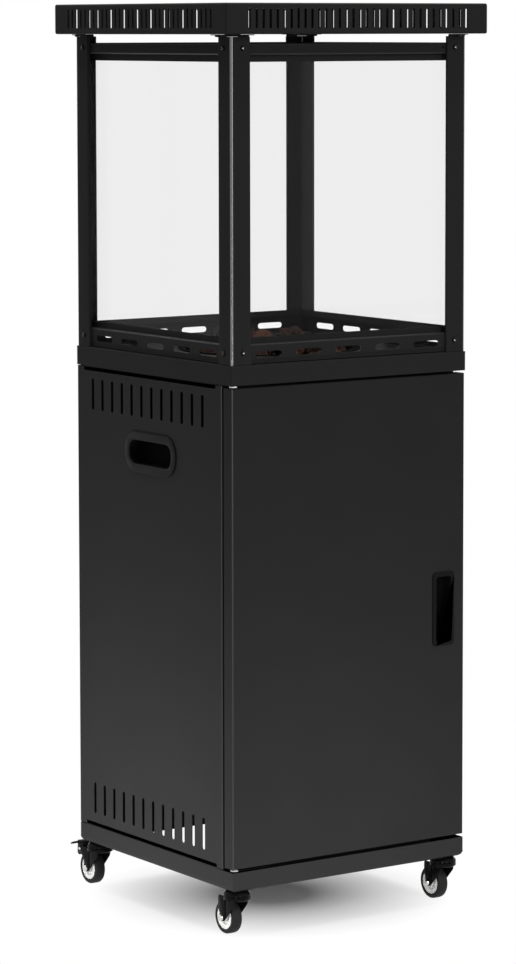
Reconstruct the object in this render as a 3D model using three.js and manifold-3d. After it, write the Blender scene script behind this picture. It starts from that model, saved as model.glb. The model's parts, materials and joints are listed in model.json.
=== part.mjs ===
// A gas patio heater: a square steel cabinet on casters, four posts with glass panes, and a slotted head.
// Millimetres, +Z up, origin on the floor under the middle of the cabinet. The door faces -Y.

import * as THREE from "three";
import { mergeVertices } from "three/addons/utils/BufferGeometryUtils.js";
import Module from "manifold-3d";

const wasm = await Module();
wasm.setup();

// Sheet steel and clearances
const SHEET = 1.2;
const BEND = 2;
const GAP = 0.3;
const CUT = 2;
const SAME_PLACE = 0.01;

// Heights, stacked from the floor up
const TRAY_HEIGHT = 30;
const TRAY_TO_PANEL = 3;
const PANEL_HEIGHT = 708;
const PANEL_TO_DECK = 4;
const DECK_HEIGHT = 29;
const POST_HEIGHT = 472.2;
const POST_TO_HEAD = 3.5;
const HEAD_HEIGHT = 45;

// Outside width of the cabinet, and how far the other square pieces stand out from its faces or in from them
const BODY = 424;
const DECK_OVERHANG = 0.8;
const POST_INSET = 0.5;
const DOOR_INSET = 0.5;
const HEAD_OVERHANG = 23;

// Base tray
const TRAY_BEND = 10;
const CORNER = 2;
const FLOOR_OPENING_WIDTH = 194;
const FLOOR_OPENING_DEPTH = 156;
const FLOOR_OPENING_FROM_REAR = 16;
const FLOOR_OPENING_CORNER = 8;

// Side panels
const DOOR_DEPTH = 22;
const DOOR_TO_PANEL = 5;
const FRONT_RETURN = 15;
const REAR_RETURN = 14;
const TONGUE_LAP = 8;
const TONGUE_FROM_FRONT = 15;
const LOW_TONGUE_FROM_REAR = 17;
const HIGH_TONGUE_FROM_REAR = 22;

// Vent slots of the side panels
const VENT_WIDTH = 7;
const VENT_HEIGHT = 48;
const VENT_COUNT = 12;
const VENT_FROM_REAR = 44.5;
const VENT_FROM_FRONT = 77;
const VENT_FROM_TOP = 41.5;
const VENT_FROM_BOTTOM = 44.2;

// Recessed hand grips
const GRIP_WIDTH = 139;
const GRIP_HEIGHT = 60.5;
const GRIP_CORNER = 28;
const GRIP_MOUTH_WIDTH = 115;
const GRIP_MOUTH_HEIGHT = 43.5;
const GRIP_MOUTH_CORNER = 18;
const GRIP_FROM_REAR = 208.5;
const GRIP_FROM_TOP = 115;
const GRIP_DEPTH = 24;

// Recessed door handle, and what it shares with the grips
const HANDLE_WIDTH = 40.5;
const HANDLE_HEIGHT = 111.5;
const HANDLE_CORNER = 6;
const HANDLE_MOUTH_WIDTH = 30.5;
const HANDLE_MOUTH_HEIGHT = 101;
const HANDLE_MOUTH_CORNER = 4;
const HANDLE_FROM_EDGE = 39.7;
const HANDLE_ABOVE_DOOR = 350.3;
const HANDLE_DEPTH = 17;
const CUP_WALL = 2;
const RIM_HEIGHT = 2.2;
const RIM_BEAD = 0.9;
const BARB_HEIGHT = 1.6;
const BARB_LENGTH = 5;
const BARB_WIDTH = 11;

// Rear panel
const REAR_NOTCH = 12;

// Door frame
const FRAME_STILE = 32.5;
const FRAME_SILL = 15;
const FRAME_HEAD = 14;
const FRAME_OPENING_CORNER = 4;
const COLLAR_DEPTH = 14;
const LOW_TONGUE_INSET = 40;
const HIGH_TONGUE_INSET = 16;

// Door
const DOOR_LIFT = 2;
const DOOR_SIDE_BEND = 3;
const DOOR_LIP = 12;
const HINGE_INSET = 7;
const HINGE_PIN = 6;
const HINGE_PIN_REACH = 9;
const HINGE_PLATE = 2;
const HINGE_CLEARANCE = 1.2;
const HINGE_TIP = 6;
const HINGE_COLLAR = 10;
const HINGE_REACH = 58;
const HINGE_FLANGE_WIDTH = 24;
const HINGE_FLANGE_HEIGHT = 20;
const HINGE_ARM = 12;
const MAGNET_WIDTH = 10;
const MAGNET_HEIGHT = 46;
const MAGNET_CORNER = 1.5;
const MAGNET_SCREW = 3;
const MAGNET_SCREW_SPACING = 32;

// Burner deck and its pan
const PAN_OPENING = 262;
const PAN_RIM = 9;
const PAN_DEPTH = 36;
const PAN_BEND = 8;
const BURNER_RING = 120;
const BURNER_TUBE = 14;
const BURNER_LIFT = 12;
const FEED_TUBE = 18;
const FEED_REACH = 10;
const BURNER_SEAT = 27;
const CROSS_TUBE = 11;
const FEED_CLEARANCE = 2;

// Lava rocks
const ROCK = 24;
const ROCK_SQUASH = 0.8;
const ROCK_ROUGHNESS_SHARE = 0.16;
const SCATTER = 10000;
const ROCK_RINGS = [
  { count: 1, radiusShare: 0, liftShare: 1.05, turn: 0 },
  { count: 5, radiusShare: 0.95, liftShare: 0.75, turn: 0.3 },
  { count: 8, radiusShare: 1.85, liftShare: 0.38, turn: 0 },
];

// Gas valve, knob, igniter and their panel
const CONTROL_WIDTH = 180;
const CONTROL_HEIGHT = 118;
const CONTROL_FROM_FRONT = 62;
const CONTROL_FLANGE = 14;
const CONTROL_AXIS_DROP = 86;
const VALVE_OFFSET = -36;
const IGNITER_OFFSET = 44;
const VALVE_BUSH = 14;
const VALVE_BODY = 32;
const VALVE_LENGTH = 46;
const VALVE_NUT = 22;
const VALVE_NUT_HEIGHT = 5;
const SPINDLE = 8;
const SPINDLE_REACH = 22;
const INLET = 11;
const INLET_REACH = 30;
const INLET_BARB = 14;
const INLET_BARB_PITCH = 8;
const INLET_BORE = 6;
const OUTLET_NUT = 15;
const OUTLET_NUT_LENGTH = 10;
const GAS_PIPE = 8;
const PIPE_BEND = 22;
const KNOB = 42;
const KNOB_LENGTH = 18;
const KNOB_SKIRT = 4;
const KNOB_GRIP = 34;
const KNOB_BAR = 9;
const KNOB_BAR_HEIGHT = 5;
const BUTTON = 20;
const BUTTON_HEIGHT = 7;
const BUTTON_TRAVEL = 4;
const BUTTON_BEVEL = 1.5;
const BUTTON_STEM = 11;
const BUTTON_STEM_LENGTH = 24;
const IGNITER_BARREL = 17;
const IGNITER_BARREL_LENGTH = 30;

// Pilot beside the burner ring
const PILOT_RADIUS = 92;
const PILOT_TUBE = 7;
const PILOT_HOOD = 11;
const PILOT_HOOD_HEIGHT = 9;
const PILOT_DROP = 16;
const PILOT_BRACKET_DEPTH = 14;
const PILOT_BRACKET_MARGIN = 2;
const PILOT_PROBE = 4;
const PILOT_PROBE_BITE = 0.5;

// Corner posts
const POST_FLANGE = 34;
const POST_BEND = 3;
const POST_LIP = 4.5;
const TAB_REACH = 16;
const TAB_FROM_CORNER = 12;
const TAB_RISE = 3.2;
const TAB_LAP = 10;
const TAB_CORNER = 4;

// Rails and glass between the posts
const RAIL_INSET = 5;
const LIP_INSET = 10;
const GLASS = 4;
const LOWER_RAIL_HEIGHT = 29.2;
const LOWER_RAIL_LIP = 8.5;
const LOWER_RAIL_FOOT = 12;
const UPPER_RAIL_DROP = 26;
const UPPER_RAIL_HEIGHT = 16.5;
const UPPER_RAIL_LIP = 10.2;
const UPPER_RAIL_FOOT = 8;
const RAIL_SLOT_LENGTH = 46.5;
const RAIL_SLOT_HEIGHT = 9;
const RAIL_SLOT_FROM_EDGE = 68.7;
const RAIL_SLOT_COUNT = 5;
const RAIL_SLOT_LIFT = 13.7;

// Head cap and the heat shield under it
const HEAD_BEND = 3;
const HEAD_LAP = 16.5;
const HEAD_SLOT_WIDTH = 4;
const HEAD_SLOT_HEIGHT = 29;
const HEAD_SLOT_LIFT = 8.5;
const HEAD_SLOT_FROM_EDGE = 40.1;
const HEAD_SLOT_COUNT = 33;
const SHIELD_INSET = 39;
const SHIELD_CORNER = 12;
const SHIELD_DROP = 3.6;
const SHIELD_STUD = 8;
const SHIELD_STUD_SPACING = 260;

// Casters
const CASTER_INSET = 22;
const STEM = 10;
const STEM_LENGTH = 12;
const STEM_NUT = 17;
const STEM_NUT_HEIGHT = 8;
const CUP_CROWN = 31;
const CUP = 41;
const CUP_HEIGHT = 7.7;
const CUP_SKIRT = 2.5;
const CUP_THICKNESS = 1.5;
const RACE_GAP = 1;
const CROWN_HEIGHT = 6;
const CROWN_BEVEL = 1;
const KINGPIN = 12;
const FORK_INSIDE = 22;
const FORK_WALL = 2;
const FORK_FRONT = 11.5;
const FORK_REAR = 14;
const FORK_WAIST = 16;
const FORK_END = 11;
const AXLE = 6;
const AXLE_HEAD = 10;
const AXLE_HEAD_HEIGHT = 4;
const TRAIL = 22;
const WHEEL = 50;
const WHEEL_TO_CROWN = 5;
const TYRE_WIDTH = 17;
const TYRE_BEVEL = 1.5;
const HUB = 36;
const HUB_BOSS = 14;
const HUB_GROOVE = 2.4;

// Brake pedals of the rear casters
const BRAKE_PIN = 4;
const BRAKE_PIN_REACH = 38;
const BRAKE_PIN_DROP = 16.5;
const BRAKE_PIN_HEAD = 2.5;
const BRAKE_EAR = 10;
const PEDAL_WIDTH = 40;
const PEDAL_WALL = 2;
const PEDAL_FRONT = 24;
const PEDAL_DROP = 3;
const PEDAL_KNEE = 43;
const PEDAL_REACH = 59;
const PEDAL_DIP = 8;
const PEDAL_BEND = 16;
const PEDAL_CORNER = 6;
// The brake block in the wheel's plane, from the wheel's centre: its low outline and its top's two ends
const BLOCK_SHARES = [
  [0.46, 1.02],
  [0.72, 0.88],
  [0.91, 0.65],
  [1.12, 0.76],
];
const BLOCK_TOP_SHARES = [0.4, 0.95];

// Steps of the small arcs and of the round pieces
const BEND_STEPS = 2;
const CORNER_STEPS = 3;
const SLOT_STEPS = 2;
const POINTED = 1;
const ROUND = 22;
const WHEEL_ROUND = 14;
const SMALL_ROUND = 8;
const HEXAGON = 6;
const PIPE_SIDES = 8;
const PIPE_STEPS = 14;

// Levels and faces that follow from the sizes above
const trayBottom = WHEEL + WHEEL_TO_CROWN + CROWN_HEIGHT + RACE_GAP + CUP_HEIGHT + GAP;
const trayTop = trayBottom + TRAY_HEIGHT;
const panelBottom = trayTop + TRAY_TO_PANEL;
const panelTop = panelBottom + PANEL_HEIGHT;
const deckBottom = panelTop + PANEL_TO_DECK;
const deckTop = deckBottom + DECK_HEIGHT;
const postBottom = deckTop + GAP;
const postTop = postBottom + POST_HEIGHT;
const headBottom = postTop + POST_TO_HEAD;
const headTop = headBottom + HEAD_HEIGHT;
const doorBottom = panelBottom + DOOR_LIFT;
const doorTop = panelTop;
const body = BODY / 2;
const bodyInside = body - SHEET;
const deck = body + DECK_OVERHANG;
const posts = body - POST_INSET;
const doorSide = body - DOOR_INSET;
const head = body + HEAD_OVERHANG;
const panelFront = -body + DOOR_DEPTH + DOOR_TO_PANEL;
const frameFront = panelFront + SHEET + GAP;
const frameBack = frameFront + SHEET;
const sheetTop = deckTop - SHEET - GAP;
const trayBendTop = trayBottom + TRAY_BEND;
const hingeAxis = -body + HINGE_INSET;
const casterAxis = body - CASTER_INSET;

// Turns a closed three.js geometry into a solid that can be joined and cut
function solid(geometry) {
  const bare = new THREE.BufferGeometry().setAttribute("position", geometry.getAttribute("position"));
  bare.setIndex(geometry.index);
  const merged = mergeVertices(bare);
  const vertProperties = merged.getAttribute("position").array;
  const corners = new Uint32Array(merged.index.array);
  const made = new wasm.Manifold(new wasm.Mesh({ numProp: 3, vertProperties, triVerts: corners }));
  if (made.volume() > 0) return made;
  return new wasm.Manifold(new wasm.Mesh({ numProp: 3, vertProperties, triVerts: corners.reverse() }));
}

// Turns a solid back into a flat-shaded three.js geometry
function geometryOf(shape) {
  const mesh = shape.getMesh();
  const geometry = new THREE.BufferGeometry();
  geometry.setAttribute("position", new THREE.BufferAttribute(new Float32Array(mesh.vertProperties), 3));
  geometry.setIndex(new THREE.BufferAttribute(mesh.triVerts, 1));
  const flat = geometry.toNonIndexed();
  flat.computeVertexNormals();
  return flat;
}

function join(...solids) {
  return solids.reduce((all, next) => all.add(next));
}

// The points of a line through corners [x, y, radius], each corner rounded to its outer radius.
// A shift moves the line to its left by part of the sheet's thickness and keeps its arcs concentric.
function roundedLine(corners, { closed = false, shift = 0, thickness = 0, steps = BEND_STEPS } = {}) {
  const points = [];
  corners.forEach(([x, y, radius = 0], index) => {
    const here = new THREE.Vector2(x, y);
    const previous = index === 0 && closed ? corners.at(-1) : corners[index - 1];
    const next = index === corners.length - 1 && closed ? corners[0] : corners[index + 1];
    const leave = next && new THREE.Vector2(next[0], next[1]).sub(here).normalize();
    const arrive = previous && here.clone().sub(new THREE.Vector2(previous[0], previous[1])).normalize();
    const enter = arrive ?? leave;
    const ahead = leave ?? enter;
    const turn = Math.atan2(enter.cross(ahead), enter.dot(ahead));
    const left = (way) => new THREE.Vector2(-way.y, way.x);
    const mitre = left(enter).add(left(ahead)).multiplyScalar(shift / (1 + enter.dot(ahead)));
    const corner = here.clone().add(mitre);
    const arc = turn > 0 ? radius - shift : radius - thickness + shift;
    if (radius === 0 || arc <= 0 || Math.abs(turn) < Number.EPSILON) {
      points.push(corner);
      return;
    }
    const side = Math.sign(turn);
    const start = corner.clone().addScaledVector(enter, -arc * Math.tan(Math.abs(turn) / 2));
    const centre = start.clone().addScaledVector(left(enter), side * arc);
    for (let step = 0; step <= steps; step += 1) {
      points.push(start.clone().rotateAround(centre, (turn * step) / steps));
    }
  });
  return points.filter((point, index) => index === 0 || point.distanceTo(points[index - 1]) > SAME_PLACE);
}

function outline(corners, steps = BEND_STEPS) {
  return new THREE.Shape(roundedLine(corners, { closed: true, steps }));
}

// The outline of a sheet that follows a line of corners and lies on the line's left
function bentSheet(corners, thickness = SHEET, steps = BEND_STEPS) {
  const near = roundedLine(corners, { thickness, steps });
  const far = roundedLine(corners, { thickness, steps, shift: thickness });
  return [...near, ...far.reverse()];
}

function rectangle(left, right, low, high, radius = 0, steps = CORNER_STEPS) {
  const corners = [
    [left, low, radius],
    [right, low, radius],
    [right, high, radius],
    [left, high, radius],
  ];
  return outline(corners, steps);
}

function slot(x, y, width, height, steps) {
  const radius = Math.min(width, height) / 2;
  return rectangle(x - width / 2, x + width / 2, y - height / 2, y + height / 2, radius, steps);
}

// Extrudes shapes along an axis. A shape for "x" is drawn in Y and Z, for "y" in X and Z, for "z" in X and Y.
function prism(axis, shapes, from, to, bevel = 0) {
  const low = Math.min(from, to);
  const high = Math.max(from, to);
  const geometry = new THREE.ExtrudeGeometry(shapes, {
    depth: high - low - 2 * bevel,
    curveSegments: ROUND,
    bevelEnabled: bevel > 0,
    bevelThickness: bevel,
    bevelSize: bevel,
    bevelOffset: -bevel,
    bevelSegments: 1,
  });
  geometry.translate(0, 0, bevel);
  if (axis === "x") {
    geometry.rotateY(Math.PI / 2).rotateX(Math.PI / 2).translate(low, 0, 0);
  } else if (axis === "y") {
    geometry.rotateX(Math.PI / 2).translate(0, high, 0);
  } else {
    geometry.translate(0, 0, low);
  }
  return solid(geometry);
}

function disc(diameter, sides = ROUND, x = 0, y = 0) {
  const points = Array.from({ length: sides }, (_, index) => {
    const angle = (index / sides) * 2 * Math.PI;
    return new THREE.Vector2(x + (Math.cos(angle) * diameter) / 2, y + (Math.sin(angle) * diameter) / 2);
  });
  return new THREE.Shape(points);
}

// The outline of a hole that clears a round pin all round, whichever way the pin is turned
function hole(pin, x = 0, y = 0) {
  return disc((pin + 2 * GAP) / Math.cos(Math.PI / SMALL_ROUND), SMALL_ROUND, x, y);
}

// A hexagonal nut or bolt head, given across its flats
function hexagon(flats, x = 0, y = 0) {
  return disc(flats / Math.cos(Math.PI / HEXAGON), HEXAGON, x, y);
}

function turned(points, segments = ROUND) {
  const profile = points.map(([x, y]) => new THREE.Vector2(x, y));
  return solid(new THREE.LatheGeometry(profile, segments).rotateX(Math.PI / 2));
}

// A square block with rounded edges: bends along its bottom and top, and rounded upright corners
function squareBlock(half, low, high, lowBend, highBend, corner) {
  const side = outline([
    [-half, high, highBend],
    [-half, low, lowBend],
    [half, low, lowBend],
    [half, high, highBend],
  ]);
  const plan = rectangle(-half, half, -half, half, corner, BEND_STEPS);
  return prism("x", side, -half, half)
    .intersect(prism("y", side, -half, half))
    .intersect(prism("z", plan, low, high));
}

const heater = new THREE.Group();

function addPart(name, shape, material, group = heater) {
  const mesh = new THREE.Mesh(geometryOf(shape), material);
  mesh.name = name;
  group.add(mesh);
  return mesh;
}

function blackSteel() {
  return new THREE.MeshStandardMaterial({ color: 0x2b2b2b, roughness: 0.55, metalness: 0.2 });
}

function greySteel() {
  return new THREE.MeshStandardMaterial({ color: 0x444444, roughness: 0.55, metalness: 0.2 });
}

function zinc() {
  return new THREE.MeshStandardMaterial({ color: 0xc4c4c2, roughness: 0.35, metalness: 1 });
}

function blackPlastic() {
  return new THREE.MeshStandardMaterial({ color: 0x161616, roughness: 0.4, metalness: 0 });
}

function stainless() {
  return new THREE.MeshStandardMaterial({ color: 0xa8a49c, roughness: 0.4, metalness: 1 });
}

function brass() {
  return new THREE.MeshStandardMaterial({ color: 0xb5954e, roughness: 0.35, metalness: 1 });
}

function clearGlass() {
  const looks = { color: 0xe8ecec, roughness: 0.05, transparent: true, opacity: 0.25 };
  return new THREE.MeshStandardMaterial(looks);
}

function lava() {
  return new THREE.MeshStandardMaterial({ color: 0x4a3a34, roughness: 0.95, metalness: 0 });
}

function greyRubber() {
  return new THREE.MeshStandardMaterial({ color: 0x1b1b1b, roughness: 0.7, metalness: 0 });
}

function paleNylon() {
  return new THREE.MeshStandardMaterial({ color: 0xb9bab8, roughness: 0.5, metalness: 0 });
}

// Base tray, a pressed pan with the stem holes of the casters
function baseTray() {
  const outside = squareBlock(body, trayBottom, trayTop, TRAY_BEND, 0, CORNER);
  const floor = trayBottom + SHEET;
  const inside = squareBlock(bodyInside, floor, trayTop + CUT, TRAY_BEND - SHEET, 0, CORNER - SHEET);
  const openingRear = body - FLOOR_OPENING_FROM_REAR;
  const openingSide = FLOOR_OPENING_WIDTH / 2;
  const openingFront = openingRear - FLOOR_OPENING_DEPTH;
  const opening = rectangle(-openingSide, openingSide, openingFront, openingRear, FLOOR_OPENING_CORNER);
  const holes = casterPlaces().map(([x, y]) => hole(STEM, x, y));
  return outside.subtract(inside).subtract(prism("z", [opening, ...holes], trayBottom - CUT, floor + CUT));
}

function casterPlaces() {
  return [
    [-casterAxis, -casterAxis],
    [casterAxis, -casterAxis],
    [-casterAxis, casterAxis],
    [casterAxis, casterAxis],
  ];
}

const ventRows = [panelTop - VENT_FROM_TOP, panelBottom + VENT_FROM_BOTTOM];
const ventPitch = (BODY - VENT_FROM_REAR - VENT_FROM_FRONT) / (VENT_COUNT - 1);
const gripY = body - GRIP_FROM_REAR;
const gripZ = panelTop - GRIP_FROM_TOP;

// Left side panel: a skin with returns at both edges and a joggled tongue into the tray and into the deck
function sidePanel() {
  const plan = bentSheet([
    [-body + REAR_RETURN, body],
    [-body, body, BEND],
    [-body, panelFront, BEND],
    [-body + FRONT_RETURN, panelFront],
  ]);
  const skin = prism("z", new THREE.Shape(plan), panelBottom, panelTop);
  const tongueFront = panelFront + TONGUE_FROM_FRONT;
  const lowFace = -bodyInside + GAP;
  const lowJoggle = lowFace + body;
  const lowTongue = bentSheet([
    [-body, panelBottom + TONGUE_LAP],
    [-body, panelBottom],
    [lowFace, panelBottom - lowJoggle],
    [lowFace, trayBendTop],
  ]);
  const highFace = -deck + SHEET + GAP;
  const highJoggle = highFace + body;
  const highTongue = bentSheet([
    [highFace, deckTop - BEND],
    [highFace, panelTop + highJoggle],
    [-body, panelTop],
    [-body, panelTop - TONGUE_LAP],
  ]);
  const low = prism("y", new THREE.Shape(lowTongue), tongueFront, body - LOW_TONGUE_FROM_REAR);
  const high = prism("y", new THREE.Shape(highTongue), tongueFront, body - HIGH_TONGUE_FROM_REAR);
  const vents = ventRows.flatMap((z) =>
    Array.from({ length: VENT_COUNT }, (_, index) =>
      slot(body - VENT_FROM_REAR - index * ventPitch, z, VENT_WIDTH, VENT_HEIGHT, POINTED),
    ),
  );
  const gripWidth = GRIP_MOUTH_WIDTH / 2 + CUP_WALL + GAP;
  const gripHeight = GRIP_MOUTH_HEIGHT / 2 + CUP_WALL + GAP;
  const gripHole = rectangle(
    gripY - gripWidth,
    gripY + gripWidth,
    gripZ - gripHeight,
    gripZ + gripHeight,
    GRIP_MOUTH_CORNER + CUP_WALL,
  );
  const cuts = prism("x", [...vents, gripHole], -body - CUT, -bodyInside + CUT);
  return join(skin, low, high).subtract(cuts);
}

// A recessed pull cup in its own frame: the rim lies on the face y = 0 and looks to -Y
function pullCup({ width, height, corner, mouthWidth, mouthHeight, mouthCorner, depth }) {
  const rimBack = -GAP;
  const rimFront = rimBack - RIM_HEIGHT;
  const cupWidth = mouthWidth / 2 + CUP_WALL;
  const cupHeight = mouthHeight / 2 + CUP_WALL;
  const rim = prism(
    "y",
    rectangle(-width / 2, width / 2, -height / 2, height / 2, corner),
    rimFront,
    rimBack,
    RIM_BEAD,
  );
  const cupShape = rectangle(-cupWidth, cupWidth, -cupHeight, cupHeight, mouthCorner + CUP_WALL);
  const cup = prism("y", cupShape, rimBack - RIM_HEIGHT / 2, depth);
  const [across, up] = [mouthWidth / 2, mouthHeight / 2];
  const mouthShape = rectangle(-across, across, -up, up, mouthCorner);
  const mouth = prism("y", mouthShape, rimFront - CUT, depth - CUP_WALL);
  const barbFront = SHEET + GAP;
  const barbRoot = cupHeight - CUP_WALL / 2;
  const barbs = [-1, 1].map((side) => {
    const wedge = new THREE.Shape([
      new THREE.Vector2(barbFront, side * barbRoot),
      new THREE.Vector2(barbFront, side * (cupHeight + BARB_HEIGHT)),
      new THREE.Vector2(barbFront + BARB_LENGTH, side * barbRoot),
    ]);
    return prism("x", wedge, -BARB_WIDTH / 2, BARB_WIDTH / 2);
  });
  return join(rim, cup, ...barbs).subtract(mouth);
}

function addGrips() {
  const shape = pullCup({
    width: GRIP_WIDTH,
    height: GRIP_HEIGHT,
    corner: GRIP_CORNER,
    mouthWidth: GRIP_MOUTH_WIDTH,
    mouthHeight: GRIP_MOUTH_HEIGHT,
    mouthCorner: GRIP_MOUTH_CORNER,
    depth: GRIP_DEPTH,
  });
  for (const [name, side] of [["left_hand_grip", -1], ["right_hand_grip", 1]]) {
    const grip = addPart(name, shape, blackPlastic());
    grip.rotation.z = (side * Math.PI) / 2;
    grip.position.set(side * body, gripY, gripZ);
  }
}

function rearPanel() {
  const side = bodyInside - GAP;
  const shape = outline([
    [-side, trayBendTop],
    [side, trayBendTop],
    [side, panelTop],
    [side - REAR_NOTCH, panelTop],
    [side - REAR_NOTCH, sheetTop],
    [-side + REAR_NOTCH, sheetTop],
    [-side + REAR_NOTCH, panelTop],
    [-side, panelTop],
  ]);
  return prism("y", shape, bodyInside - GAP - SHEET, bodyInside - GAP);
}

// Door frame: a plate behind the front returns, with a collared opening and a tongue at its foot and its head
function doorFrame() {
  const side = bodyInside - GAP;
  const low = body - LOW_TONGUE_INSET;
  const high = body - HIGH_TONGUE_INSET;
  const openingSide = side - FRAME_STILE;
  const plate = outline([
    [-low, trayBottom + SHEET + GAP],
    [low, trayBottom + SHEET + GAP],
    [low, panelBottom],
    [side, panelBottom],
    [side, panelTop],
    [high, panelTop],
    [high, sheetTop],
    [-high, sheetTop],
    [-high, panelTop],
    [-side, panelTop],
    [-side, panelBottom],
    [-low, panelBottom],
  ]);
  const opening = (grow) =>
    rectangle(
      -openingSide - grow,
      openingSide + grow,
      panelBottom + FRAME_SILL - grow,
      panelTop - FRAME_HEAD + grow,
      FRAME_OPENING_CORNER + grow,
    );
  const collarBack = frameFront + COLLAR_DEPTH;
  const collar = prism("y", opening(SHEET), frameFront, collarBack);
  return join(prism("y", plate, frameFront, frameBack), collar).subtract(
    prism("y", opening(0), frameFront - CUT, collarBack + CUT),
  );
}

// Door: a pan that opens to the rear, with a lip turned in all round and the holes of its two pins
function doorPanel() {
  const side = doorSide;
  const front = -body;
  const rear = front + DOOR_DEPTH;
  const shell = (inset, back) => {
    const plan = outline([
      [-side + inset, back],
      [-side + inset, front + inset, DOOR_SIDE_BEND - inset],
      [side - inset, front + inset, DOOR_SIDE_BEND - inset],
      [side - inset, back],
    ]);
    const section = outline([
      [back, doorTop - inset],
      [front + inset, doorTop - inset, BEND - inset],
      [front + inset, doorBottom + inset, BEND - inset],
      [back, doorBottom + inset],
    ]);
    return prism("z", plan, doorBottom + inset, doorTop - inset).intersect(
      prism("x", section, -side + inset, side - inset),
    );
  };
  const mouth = rectangle(-side + DOOR_LIP, side - DOOR_LIP, doorBottom + DOOR_LIP, doorTop - DOOR_LIP, BEND);
  const pinHole = hole(HINGE_PIN, hingeAxis, hingeAxis);
  const handleWidth = HANDLE_MOUTH_WIDTH / 2 + CUP_WALL + GAP;
  const handleHeight = HANDLE_MOUTH_HEIGHT / 2 + CUP_WALL + GAP;
  const handleHole = rectangle(
    handleX - handleWidth,
    handleX + handleWidth,
    handleZ - handleHeight,
    handleZ + handleHeight,
    HANDLE_MOUTH_CORNER + CUP_WALL,
  );
  return shell(0, rear)
    .subtract(shell(SHEET, rear - SHEET))
    .subtract(prism("y", mouth, rear - SHEET - CUT, rear + CUT))
    .subtract(prism("z", pinHole, doorBottom - CUT, doorTop + CUT))
    .subtract(prism("y", handleHole, front - CUT, front + SHEET + CUT));
}

const handleX = doorSide - HANDLE_FROM_EDGE;
const handleZ = doorBottom + HANDLE_ABOVE_DOOR;

function addDoorHandle() {
  const shape = pullCup({
    width: HANDLE_WIDTH,
    height: HANDLE_HEIGHT,
    corner: HANDLE_CORNER,
    mouthWidth: HANDLE_MOUTH_WIDTH,
    mouthHeight: HANDLE_MOUTH_HEIGHT,
    mouthCorner: HANDLE_MOUTH_CORNER,
    depth: HANDLE_DEPTH,
  });
  addPart("door_handle", shape, blackPlastic()).position.set(handleX, -body, handleZ);
}

// A hinge plate beside a door edge: side is 1 above the door and -1 below it
function hingePlate(edge, side) {
  const near = edge + side * HINGE_CLEARANCE;
  const far = near + side * HINGE_PLATE;
  const flangeLeft = hingeAxis + HINGE_REACH - HINGE_FLANGE_WIDTH;
  const right = hingeAxis + HINGE_REACH;
  const flangeBack = frameFront - GAP;
  const armBack = hingeAxis - HINGE_TIP + HINGE_ARM;
  const plan = outline([
    [hingeAxis - HINGE_TIP, hingeAxis - HINGE_TIP, HINGE_TIP],
    [right, hingeAxis - HINGE_TIP, BEND],
    [right, flangeBack],
    [flangeLeft, flangeBack],
    [flangeLeft, armBack],
    [hingeAxis - HINGE_TIP, armBack, HINGE_TIP],
  ]);
  const flangePlan = rectangle(flangeLeft, right, flangeBack - HINGE_PLATE, flangeBack);
  const pin = disc(HINGE_PIN, SMALL_ROUND, hingeAxis, hingeAxis);
  const collar = disc(HINGE_COLLAR, SMALL_ROUND, hingeAxis, hingeAxis);
  return join(
    prism("z", plan, near, far),
    prism("z", flangePlan, near, near + side * HINGE_FLANGE_HEIGHT),
    prism("z", pin, edge - side * HINGE_PIN_REACH, far),
    prism("z", collar, edge + side * GAP, far),
  );
}

// Magnet catch on the right panel's front return, behind the door's lip
function magnetCatch() {
  const right = body - BEND;
  const left = right - MAGNET_WIDTH;
  const centre = (left + right) / 2;
  const low = handleZ - MAGNET_HEIGHT / 2;
  const front = -body + DOOR_DEPTH + GAP;
  const back = panelFront - GAP;
  const holes = [-1, 1].map((side) =>
    disc(MAGNET_SCREW, SMALL_ROUND, centre, handleZ + (side * MAGNET_SCREW_SPACING) / 2),
  );
  return prism("y", rectangle(left, right, low, low + MAGNET_HEIGHT, MAGNET_CORNER), front, back).subtract(
    prism("y", holes, front - CUT, back + CUT),
  );
}

// Burner deck: an inverted pan with the round opening of the burner pan
function burnerDeck() {
  const outside = squareBlock(deck, deckBottom, deckTop, 0, BEND, CORNER);
  const low = deckBottom - CUT;
  const inside = squareBlock(deck - SHEET, low, deckTop - SHEET, 0, BEND - SHEET, CORNER - SHEET);
  const opening = prism("z", disc(PAN_OPENING), deckTop - SHEET - CUT, deckTop + CUT);
  return outside.subtract(inside).subtract(opening);
}

const panFloor = deckTop + GAP + SHEET - PAN_DEPTH;
const burnerCentre = panFloor + BURNER_LIFT + BURNER_TUBE / 2;

// Burner pan: a spun bowl whose rim lies on the deck
function burnerPan() {
  const wall = PAN_OPENING / 2 - CUT - SHEET;
  const rim = PAN_OPENING / 2 + PAN_RIM;
  const corners = [
    [rim, panFloor + PAN_DEPTH],
    [wall, panFloor + PAN_DEPTH],
    [wall, panFloor, PAN_BEND],
    [FEED_TUBE / 2 + FEED_CLEARANCE, panFloor],
  ];
  const profile = bentSheet(corners);
  const bowl = turned([...profile, profile[0]].map((point) => [point.x, point.y]));
  const pilotHole = hole(PILOT_TUBE, 0, -PILOT_RADIUS);
  return bowl.subtract(prism("z", pilotHole, panFloor - SHEET - CUT, panFloor + CUT));
}

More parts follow.
